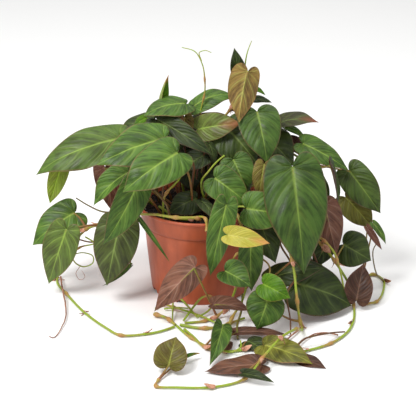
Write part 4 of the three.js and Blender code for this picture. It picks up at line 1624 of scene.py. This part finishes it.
# Small leaves, young shoots and old leaves between the others, mostly deep in the crown.
# Those deep in the crown are dark, as painted shade that fills it.
SMALL_LEAVES = [
    # in the pot and the crown
    Leaf("sprig_pot_dark", Soil(8, -10), (-3, -24, 98), (-29, -40, 89), (-95, 48), 27, 4, -2,
        Kind.DARK, tone=-0.25),
    Leaf("sprig_pot_green", Soil(-4, -20), (1, -34, 100), (13, -50, 87), (-60, 50), 13, 3, -1,
        Kind.DARK, tone=0.1),
    Leaf("sprig_pot_back", Soil(10, 20), (20, 6, 112), (2, -14, 92), (-70, 40), 24, 3, 0, Kind.DARK,
        tone=-0.4),
    Leaf("sprig_pot_right", Soil(30, 4), (30, -16, 102), (48, -30, 86), (-80, 40), 24, 3, 0, Kind.DARK,
        tone=-0.35),
    Leaf("sprig_bronze", Node("stem_crown_left", 3), (-15, 30, 158), (-13, 23, 137), (-95, 10), 17, 2,
        2, Kind.OLIVE, bow=(4, 2, 2), warm=0.25, tone=-0.1),
    Leaf("sprig_behind_pale", Node("stem_crown", 2), (-6, 47, 145), (31, 49, 150), (-90, 45), 18, 3, 0,
        Kind.DARK, tone=-0.2),
    Leaf("sprig_behind_front", Soil(-6, 0), (5, 4, 130), (-18, -12, 118), (-110, 45), 22, 3, 0,
        Kind.DARK, tone=-0.35),
    Leaf("sprig_strip", Soil(12, 16), (8, 8, 139), (13, -4, 121), (-50, 15), 11, 2, 0, Kind.DARK,
        tone=-0.35),
    Leaf("sprig_deep_left", Soil(-16, 16), (-22, 30, 146), (-40, 24, 112), (-100, 25), 30, 3, 0,
        Kind.DARK, tone=-0.4),
    Leaf("sprig_deep_middle", Soil(0, 30), (-2, 38, 126), (2, 32, 94), (-90, 15), 32, 3, 0, Kind.DARK,
        tone=-0.5),
    Leaf("sprig_deep_right", Soil(24, 28), (34, 40, 132), (40, 32, 94), (-85, 15), 34, 3, 0, Kind.DARK,
        tone=-0.45),
    Leaf("sprig_deep_low", Soil(30, 20), (58, 26, 118), (70, 16, 84), (-80, 20), 30, 3, 0, Kind.DARK,
        tone=-0.45),
    Leaf("sprig_deep_front", Soil(-10, 14), (-14, 10, 124), (-6, -4, 94), (-90, 30), 26, 3, 0,
        Kind.DARK, tone=-0.5),
    Leaf("sprig_deep_centre", Soil(14, 10), (14, 26, 128), (10, 20, 98), (-95, 25), 26, 3, 0,
        Kind.DARK, tone=-0.5),
    Leaf("sprig_deep_rim", Soil(-20, 26), (-20, 40, 122), (-26, 36, 88), (-90, 20), 32, 3, 0,
        Kind.DARK, tone=-0.5),
    Leaf("sprig_deep_side", Soil(-28, 14), (-38, 12, 122), (-46, 2, 92), (-100, 30), 24, 3, 0,
        Kind.DARK, tone=-0.45),
    Leaf("sprig_deep_rear", Soil(12, 34), (16, 46, 128), (20, 42, 92), (-90, 15), 34, 3, 0, Kind.DARK,
        tone=-0.5),
    Leaf("sprig_behind_upper", Node("stem_crown_left", 2), (-45, 34, 153), (-80, 34, 138), (-92, 62),
        24, 3, -1, Kind.DARK, bow=(0, 4, 4), tone=0.1),
    Leaf("sprig_lime_margin", Node("stem_crown_left", 2), (-50, 20, 160), (-62, 16, 153), (-90, 50), 8,
        1, 1, Kind.LIME),
    Leaf("sprig_back_left", Soil(-22, 30), (-38, 50, 134), (-64, 68, 96), (110, 30), 38, 5, -1, Kind.GREEN),
    Leaf("sprig_back_middle", Soil(-2, 38), (4, 52, 138), (0, 70, 92), (90, 25), 42, 5, -1, Kind.DARK),
    Leaf("sprig_back_right", Soil(28, 32), (42, 50, 132), (64, 66, 94), (60, 28), 40, 5, -1, Kind.GREEN),
    # shoots at the top
    Leaf("sprig_top_edge", Node("stem_crown", 3), (47, 47, 169), (67, 46, 166), (-90, 60), 9, 2, 0,
        Kind.DARK),
    Leaf("sprig_top_lime", Node("stem_crown", 4), (49, 46, 180), (61, 47, 173), (-90, 60), 6, 1, 1,
        Kind.LIME),
    # right side
    Leaf("sprig_right_lime", Node("stem_crown_right", 3), (80, 38, 144), (100, 38, 132), (-80, 60), 8,
        2, 1, Kind.LIME, tone=-0.15),
    Leaf("sprig_right_bronze", Node("stem_crown_right", 3), (84, 32, 132), (113, 26, 114), (-95, 40),
        15, 2, 2, Kind.BROWN, tone=-0.3),
    Leaf("sprig_right_green", Node("stem_right", 4), (120, -18, 55), (104, -34, 32), (-95, 12), 21, 3,
        0, Kind.DARK, tone=0.1),
    Leaf("sprig_right_yellow", Node("stem_right", 4), (86, -42, 37), (113, -46, 34), (-90, 55), 13, 3,
        0, Kind.OLIVE, bow=(-4, 0, -14), tone=0.35),
    Leaf("sprig_edge_green", Node("stem_far_right", 7), (161, -8, 66), (173, -13, 47), (-60, 20), 8, 2,
        0, Kind.GREEN, bow=(2, 2, 10)),
    Leaf("sprig_edge_red", Node("stem_far_right", 7), (155, -11, 63), (169, -17, 43), (-70, 10), 7, 1,
        1, Kind.BROWN, warm=0.4),
    Leaf("sprig_right_fold", Node("stem_front_right", 4), (62, -56, 32), (112, -60, 45), (-85, 52), 25,
        5, -2, Kind.DARK, tone=-0.05),
    # left side
    Leaf("sprig_left_rolled", Node("stem_left", 3), (-65, -34, 34), (-91, -34, 14), (-90, 50), 4.5, -3,
        1, Kind.GREEN, bow=(4, -4, 0)),
    Leaf("sprig_pot_strap", Node("stem_left", 2), (-57, -52, 94), (-27, -60, 50), (-100, 30), 4.5, -3,
        1, Kind.GREEN, bow=(-2, -6, 4), tone=-0.1),
    # on the floor
    Leaf("sprig_floor_bronze", Node("stem_front_low", 3), (31, -107, 5), (80, -112, 4), (-90, 75), 11,
        2, 1, Kind.BROWN, bow=(-4, 6, 2)),
    Leaf("sprig_floor_green", Node("stem_front_low", 4), (41, -119, 2.6), (54, -136, 2), (-110, 75),
        21, 2, 0, Kind.DARK, bow=(0, 6, 2)),
    Leaf("sprig_floor_tan", Node("stem_front_low", 2), (24, -120, 2.2), (23, -140, 2), (-80, 72), 10,
        1, 0, Kind.BROWN, bow=(0, 4, 1), tone=0.3),
    Leaf("sprig_floor_dark", Node("stem_right", 13), (84, -146, 1.8), (107, -164, 1.6), (-90, 74), 16,
        0.5, 0, Kind.BROWN, tone=-0.35),
    Leaf("sprig_floor_old", Node("stem_front_right", 10), (36, -183, 7), (62, -193, 4), (-90, 60), 9,
        2, 2, Kind.DARK, tone=-0.3),
    Leaf("sprig_floor_shoot", Node("stem_front_right", 15), (-16, -153, 4), (1, -146, 6), (-90, 60), 4,
        1, 1, Kind.LIME, tinge=0.8, tone=-0.2),
]


# Stalks whose leaves are lost or lie hidden: points in millimetres.
STALKS = [
    Strand([(-11, -22, 78), (-7, -25, 115), (-6, -30, 133), (-13, -34, 143), (-19, -38, 146)], 1.2,
        1.0, flush=0.9),
    Strand([(-26, -46, 78), (-30, -46, 100), (-40, -40, 112), (-46, -36, 118)], 1.1, 0.9, flush=0.6),
    Strand([(-34, -28, 78), (-34, -28, 104), (-33, -25, 115), (-34, -20, 124)], 0.9, 0.8, flush=0.9),
    Strand([(4, -20, 78), (5, -19, 97), (12, -15, 106), (20, -8, 118)], 1.0, 0.8, flush=0.5),
    Strand([(-3, 0, 78), (-3, 0, 113), (1, 2, 126), (8, 6, 138)], 0.9, 0.8, flush=0.8),
    Strand([(2, 8, 78), (3, 10, 122), (1, 20, 139), (-6, 30, 150)], 1.2, 0.9, flush=0.9),
    Strand([(6, 4, 78), (7, 8, 118), (4, 18, 138), (2, 28, 152)], 1.1, 0.9, flush=0.8),
    Strand([(-2, 12, 78), (-1, 14, 116), (-6, 20, 138)], 1.2, 0.9, flush=1.0),
    Strand([(10, 14, 78), (9, 14, 120), (14, 22, 146)], 1.0, 0.8, flush=0.7),
    Strand([(16, 0, 78), (16, -4, 100), (26, -8, 116)], 1.0, 0.8, flush=0.4),
    Strand([(7, -12, 79), (8, -12, 93), (18, -11, 95), (28, -14, 92)], 0.9, 0.8, flush=0.7),
    Strand([(-18, 22, 78), (-14, 26, 120), (-20, 32, 148)], 1.1, 0.9, flush=0.9),
    Strand([(-38, 10, 78), (-46, 8, 108), (-66, 4, 122)], 1.1, 0.9, flush=0.7),
    Strand([(22, 20, 78), (26, 26, 110), (34, 34, 134)], 1.2, 0.9, flush=0.9),
    Strand([(34, 8, 78), (44, 6, 106), (58, 8, 122)], 1.1, 0.9, flush=0.8),
    Strand([(-66, -22, 84), (-91, -6, 77), (-105, 0, 81), (-116, 3, 87)], 0.9, 0.6, flush=0.4),
    Strand([(-92, -22, 70), (-99, -14, 50), (-118, -8, 51), (-127, -8, 54)], 0.9, 0.6, flush=0.9),
    Strand([(33, -114, 2), (33, -100, 8), (37, -82, 14), (38, -70, 24)], 1.1, 0.9, flush=0.2),
    Strand([(84, -80, 42), (77, -90, 34), (80, -98, 12), (80, -105, 1)], 0.9, 0.6, flush=0.95),
    Strand([(81, -134, 3), (91, -127, 9), (102, -124, 11), (118, -110, 6), (128, -103, 3)], 0.9, 0.7,
        flush=0.95),
    Strand([(72, -45, 80), (73, -42, 60), (82, -45, 44), (84, -50, 34), (80, -56, 20)], 1.0, 0.8,
        flush=0.8),
    Strand([(54, -38, 90), (60, -36, 72), (72, -38, 62), (91, -40, 54), (87, -45, 44), (78, -50, 38)],
        1.0, 0.6, flush=0.3),
    Strand([(93, -23, 69), (104, -38, 48), (110, -44, 30), (112, -50, 8)], 1.0, 0.7, flush=0.9),
    Strand([(73, -16, 83), (92, -24, 60), (106, -30, 32), (124, -40, 10)], 1.0, 0.8, flush=0.5),
    Strand([(174, -2, 3), (165, -14, 18), (161, -14, 40), (164, -16, 50)], 0.7, 0.5, flush=0.5),
    Strand([(45, 12, 112), (66, 10, 112), (88, 12, 118), (102, 14, 120)], 1.0, 0.8, flush=0.7),
]


# Young green shoots and runners: points in millimetres.
SHOOTS = [
    Strand([(-2, 34, 130), (0, 38, 159), (4, 38, 179), (4, 38, 191), (2, 38, 205), (-5, 38, 218),
        (-17, 38, 222)], 0.9, 0.35, (44, 62), 0.1),
    Strand([(1, 38, 209), (-1, 38, 217), (5, 38, 219), (10, 38, 217)], 0.5, 0.3, flush=0.2),
    Strand([(41, 40, 178), (41, 42, 200), (43, 42, 215), (47, 42, 227)], 1.0, 0.3, flush=0.0),
    Strand([(10, -22, 78), (1, -20, 112), (8, -17, 122), (15, -15, 130), (22, -14, 136)], 1.1, 0.8,
        flush=0.1),
    Strand([(-34, -32, 78), (-32, -30, 103), (-20, -25, 116), (-13, -20, 126)], 1.1, 0.8, (28,), flush=0.1),
    Strand([(0, -50, 88), (-3, -53, 91), (-22, -55, 92.5), (-40, -46, 91.5), (-53, -33, 86),
        (-59, -20, 80)], 1.3, 1.0, (4, 24), 0.35),
    Strand([(26, -44, 88), (28, -46, 96), (36, -50, 101), (46, -54, 100)], 0.9, 0.7, flush=0.0),
    Strand([(-106, -25, 60), (-98, -24, 53), (-111, -24, 49), (-118, -24, 42), (-117, -24, 34),
        (-109, -24, 29), (-100, -24, 33), (-100, -22, 39), (-110, -19, 41), (-125, -16, 35)], 0.75,
        0.45, (26,), 0.1),
    Strand([(-41, -56, 2), (-37, -50, 3), (-19, -61, 4), (2, -73, 2.5), (13, -85, 3), (28, -94, 2)],
        1.0, 0.8, (22,), 0.0),
    Strand([(-25, -58, 9), (-25, -69, 5), (-25, -80, 2)], 0.8, 0.6, flush=0.0),
    Strand([(-18, -54, 11), (-9, -65, 6), (-3, -73, 2)], 1.0, 0.8, flush=0.1),
    Strand([(-33, -57, 2), (-22, -59, 4.5), (-11, -58, 3)], 0.8, 0.6, flush=0.0),
    Strand([(-42, -69, 3), (-31, -76, 3), (-22, -88, 2)], 1.3, 1.2, (3, 18), 0.2),
    Strand([(-21, -89, 1.5), (-9, -110, 1.5), (5, -126, 1.5), (12, -134, 2)], 1.1, 0.9, (26,), 0.0),
    Strand([(-18, -88, 2), (0, -94, 2), (13, -93, 2), (29, -83, 2), (40, -75, 2)], 1.3, 1.0, (24, 48), 0.1),
    Strand([(-15, -80, 2), (-7, -67, 8), (2, -69, 20), (9, -71, 22), (12, -69, 14), (7, -67, 5),
        (-2, -75, 3)], 1.0, 0.8, (40,), 0.0),
    Strand([(17, -136, 3), (28, -141, 4), (35, -140, 8), (35, -132, 10)], 1.0, 0.6, flush=0.0),
    Strand([(24, -96, 2), (30, -84, 10), (36, -80, 18), (40, -79, 30), (42, -74, 40)], 1.1, 0.9, (12,),
        0.1),
    Strand([(38, -67, 64), (32, -76, 66), (29, -77, 60), (33, -78, 54)], 0.8, 0.5, (10,), 0.2),
    Strand([(96, -26, 70), (113, -52, 67), (120, -54, 59), (125, -52, 46), (130, -50, 26),
        (134, -50, 4)], 1.0, 0.8, (30, 52), 0.1),
]


# Long aerial roots that hang or creep: points in millimetres.
ROOTS = [
    Strand([(-134, 6, 4), (-130, -20, 6), (-122, -68, 3), (-123, -88, 2), (-129, -110, 1),
        (-133, -108, 1)], 0.9, 0.4, flush=0.2, wobble=0.3),
    Strand([(122, -107, 2), (108, -104, 3), (97, -109, 2), (88, -122, 3), (81, -134, 2)], 0.7, 0.4,
        flush=0.2, wobble=0.8),
    Strand([(90, -93, 2), (76, -118, 3), (72, -127, 2), (63, -148, 1)], 0.8, 0.4, flush=0.2, wobble=0.6),
    Strand([(-112, -22, 29), (-116, -22, 22), (-113, -22, 15), (-108, -22, 17), (-111, -22, 24)], 0.3,
        0.15, wobble=1.0),
]


@dataclass
class Nodes:
    """What grows at the nodes of the trailing stems: papery sheaths and short roots."""

    seed: int = 7
    sheath_length: float = 9
    root_length: float = 7

    def spots(self) -> list[tuple[np.ndarray, np.ndarray]]:
        """List the nodes outside the pot, each with the stem's direction there."""
        made = []
        for name in STEM_ROUTES:
            points = np.array(stem_points(name))
            for index in range(2, len(points) - 1):
                borne = any(
                    leaf.grows_from == Node(name, index) for leaf in (*LEAVES, *SMALL_LEAVES)
                )
                if borne or index % 3 == 0:
                    made.append((points[index], unit(points[index + 1] - points[index - 1])))
        return made

    def petal(
        self, skin: Skin, foot: np.ndarray, way: np.ndarray, out: np.ndarray, size: float
    ) -> None:
        """Add one sheath: a narrow papery shell, cupped round the stem and open at its tip.

        Args:
            skin: The mesh under construction.
            foot: Where it is attached, in millimetres.
            way: The stem's direction.
            out: The direction away from the stem.
            size: Its length.
        """
        across = np.cross(way, out)
        t, v = np.meshgrid(np.linspace(0, 1, 9), np.linspace(-1, 1, 9), indexing="ij")
        width = size * 0.26 * np.sin(math.pi * (0.12 + 0.83 * t)) ** 0.8
        flare = 1.2 * STEM_RADIUS + size * 0.34 * t**1.7
        wrap = v * 1.25 * (1 - 0.45 * t)
        outward = flare - width * (1 - np.cos(wrap)) + 0.25 * np.sin(7 * t + 3 * v) * t
        shell = (
            foot
            + (size * t * 0.95)[..., None] * way
            + outward[..., None] * out
            + (width * np.sin(wrap) * 1.3)[..., None] * across
        )
        uvs = np.stack([t, v], axis=-1)
        inner = shell - 0.22 * out
        shell[..., 2] = np.maximum(shell[..., 2], 0.3)
        inner[..., 2] = np.maximum(inner[..., 2], 0.05)
        one = skin.grid(shell, uvs, 0)
        two = skin.grid(inner, uvs, 0, flip=True)
        for side in (np.s_[0], np.s_[-1], np.s_[:, 0], np.s_[:, -1]):
            ring = list(one[side])
            skin.band(ring, list(two[side]), [(0.0, 0.0)] * len(ring), 0)

    def build(self) -> None:
        """Make the sheaths as one piece and the short roots as another."""
        rng = np.random.default_rng(self.seed)
        skin, roots = Skin(), []
        for spot, way in self.spots():
            turn = rng.uniform(0, 2 * math.pi)
            side = unit(np.cross(way, (0, 0, 1.0)) + 1e-3)
            up = np.cross(side, way)
            out = unit(math.cos(turn) * side + abs(math.sin(turn)) * up)
            size = self.sheath_length * rng.uniform(0.6, 1.25)
            self.petal(skin, spot, way, out, size)
            for _ in range(int(rng.integers(1, 4))):
                spread = rng.uniform(-1, 1)
                reach = self.root_length * rng.uniform(0.4, 1.2)
                down = unit(np.array([0, 0, -0.7]) + spread * side + rng.uniform(-0.5, 0.5) * way)
                end = spot + down * reach
                middle = spot + down * reach * 0.5 + rng.uniform(-1, 1, 3)
                points = [tuple(map(float, p)) for p in (spot + down, middle, end)]
                points = [(x, y, max(z, 0.5)) for x, y, z in points]
                roots.append(Strand(points, 0.42, 0.2, wobble=0.5))
        settle(skin.build("dried_sheaths", [SHEATH_FINISH.material()], crease=80))
        Vine("aerial_roots", roots + ROOTS, "stem", ROOT_FINISH.material(), 8).build()


@dataclass
class Foliage:
    """All the leaves, dressed by kind."""

    leaves: Sequence[Leaf]

    def build(self) -> None:
        """Make every leaf."""
        stalk = PETIOLE_FINISH.material()
        dresses = {k: (k.value.upper(), k.value.lower()) for k in Kind}
        for leaf in self.leaves:
            piece = Blade(leaf).build([*dresses[leaf.look or leaf.kind], stalk])
            settle(piece, [leaf.name] if leaf in LEAVES else [])


# ---- the setting ---------------------------------------------------------------------------
@dataclass
class Studio:
    """A pale floor, soft light and the camera."""

    distance: float = 1.192
    height: float = 0.589
    aside: float = 0.007
    pitch: float = 23.2
    lens: float = 120.4
    sensor: float = 36
    floor_side: float = 12.0
    aimed_at: Point = (0, -0.02, 0.09)

    def floor(self) -> None:
        """Lay the floor."""
        material, tree, shader = new_material("matt white floor")
        add = partial(add_node, tree)
        where = add("ShaderNodeTexCoord").outputs["Object"]
        cloud = add("ShaderNodeTexNoise", {"Vector": where, "Scale": per_mm(700)})
        tints = {0: cloud, 6: linear("#F7F7F6"), 7: linear("#F9F9F8")}
        base = add("ShaderNodeMix", tints, data_type="RGBA")
        fill(tree, shader, {"Base Color": base, "Roughness": 0.9})
        mesh = bpy.data.meshes.new("floor")
        far = self.floor_side / 2
        corners = [(-far, -far, 0), (far, -far, 0), (far, far, 0), (-far, far, 0)]
        mesh.from_pydata(corners, [], [(0, 1, 2, 3)])
        mesh.materials.append(material)
        put("floor", mesh)

    def light(self, name: str, at: Point, size: float, watts: float) -> None:
        """Hang one soft box that points at the plant.

        Args:
            name: The light's name.
            at: Where it hangs, in metres.
            size: The side of its square, in metres.
            watts: Its power.
        """
        data = bpy.data.lights.new(name, "AREA")
        data.shape, data.size, data.energy = "SQUARE", size, watts
        lamp = put(name, data)
        lamp.location = at
        heading = Vector(self.aimed_at) - Vector(at)
        lamp.rotation_euler = heading.to_track_quat("-Z", "Y").to_euler()

    def build(self) -> None:
        """Set up the floor, the lights, the surroundings and the camera."""
        self.floor()
        self.light("key", (-0.75, -0.7, 1.45), 0.65, 25)
        self.light("fill", (1.2, -1.0, 0.8), 1.4, 3)
        self.light("top", (0.2, 0.4, 1.6), 1.2, 9)
        world = bpy.data.worlds.new("studio walls")
        world.use_nodes = True
        walls = {"Color": linear("#FFFFFF"), "Strength": 0.5}
        fill(world.node_tree, world.node_tree.nodes["Background"], walls)
        bpy.context.scene.world = world
        bpy.context.scene.view_settings.view_transform = "Standard"
        data = bpy.data.cameras.new("camera")
        data.lens, data.sensor_width = self.lens, self.sensor
        data.clip_start, data.clip_end = 0.05, 50
        camera = put("camera", data)
        camera.location = (self.aside, -self.distance, self.height)
        camera.rotation_euler = (math.radians(90 - self.pitch), 0, 0)
        bpy.context.scene.camera = camera


def build_stems() -> None:
    """Make the ten trailing and standing stems, swollen at the nodes that bear leaves."""
    finish = STEM_FINISH.material("flush")
    for name in STEM_ROUTES:
        points = stem_points(name)
        marks = smooth_route(points, Vine.step)[1]
        homes = (leaf.grows_from for leaf in LEAVES)
        bearing = {home.index for home in homes if isinstance(home, Node) and home.stem == name}
        bare = set(range(2, len(points) - 1, 3))
        swellings = [float(marks[i]) for i in sorted(bearing | bare)]
        strand = Strand(points, INTERNODE_RADIUS, 1.0, swellings)
        Vine(name.replace("stem_", "vine_"), [strand], "stem", finish).build([name])


def main() -> None:
    """Build the plant and its setting."""
    noise.seed_set(SWAY_SEED)
    pot = NurseryPot()
    pot.build()
    PottingMix(pot).build()
    build_stems()
    Vine("spare_stalks", STALKS, "stem", TENDRIL_FINISH.material("flush"), 10).build()
    Vine("young_shoots", SHOOTS, "stem", STEM_FINISH.material("flush"), 12).build()
    Nodes().build()
    Foliage([*LEAVES, *SMALL_LEAVES]).build()
    Studio().build()


if __name__ == "__main__":
    main()
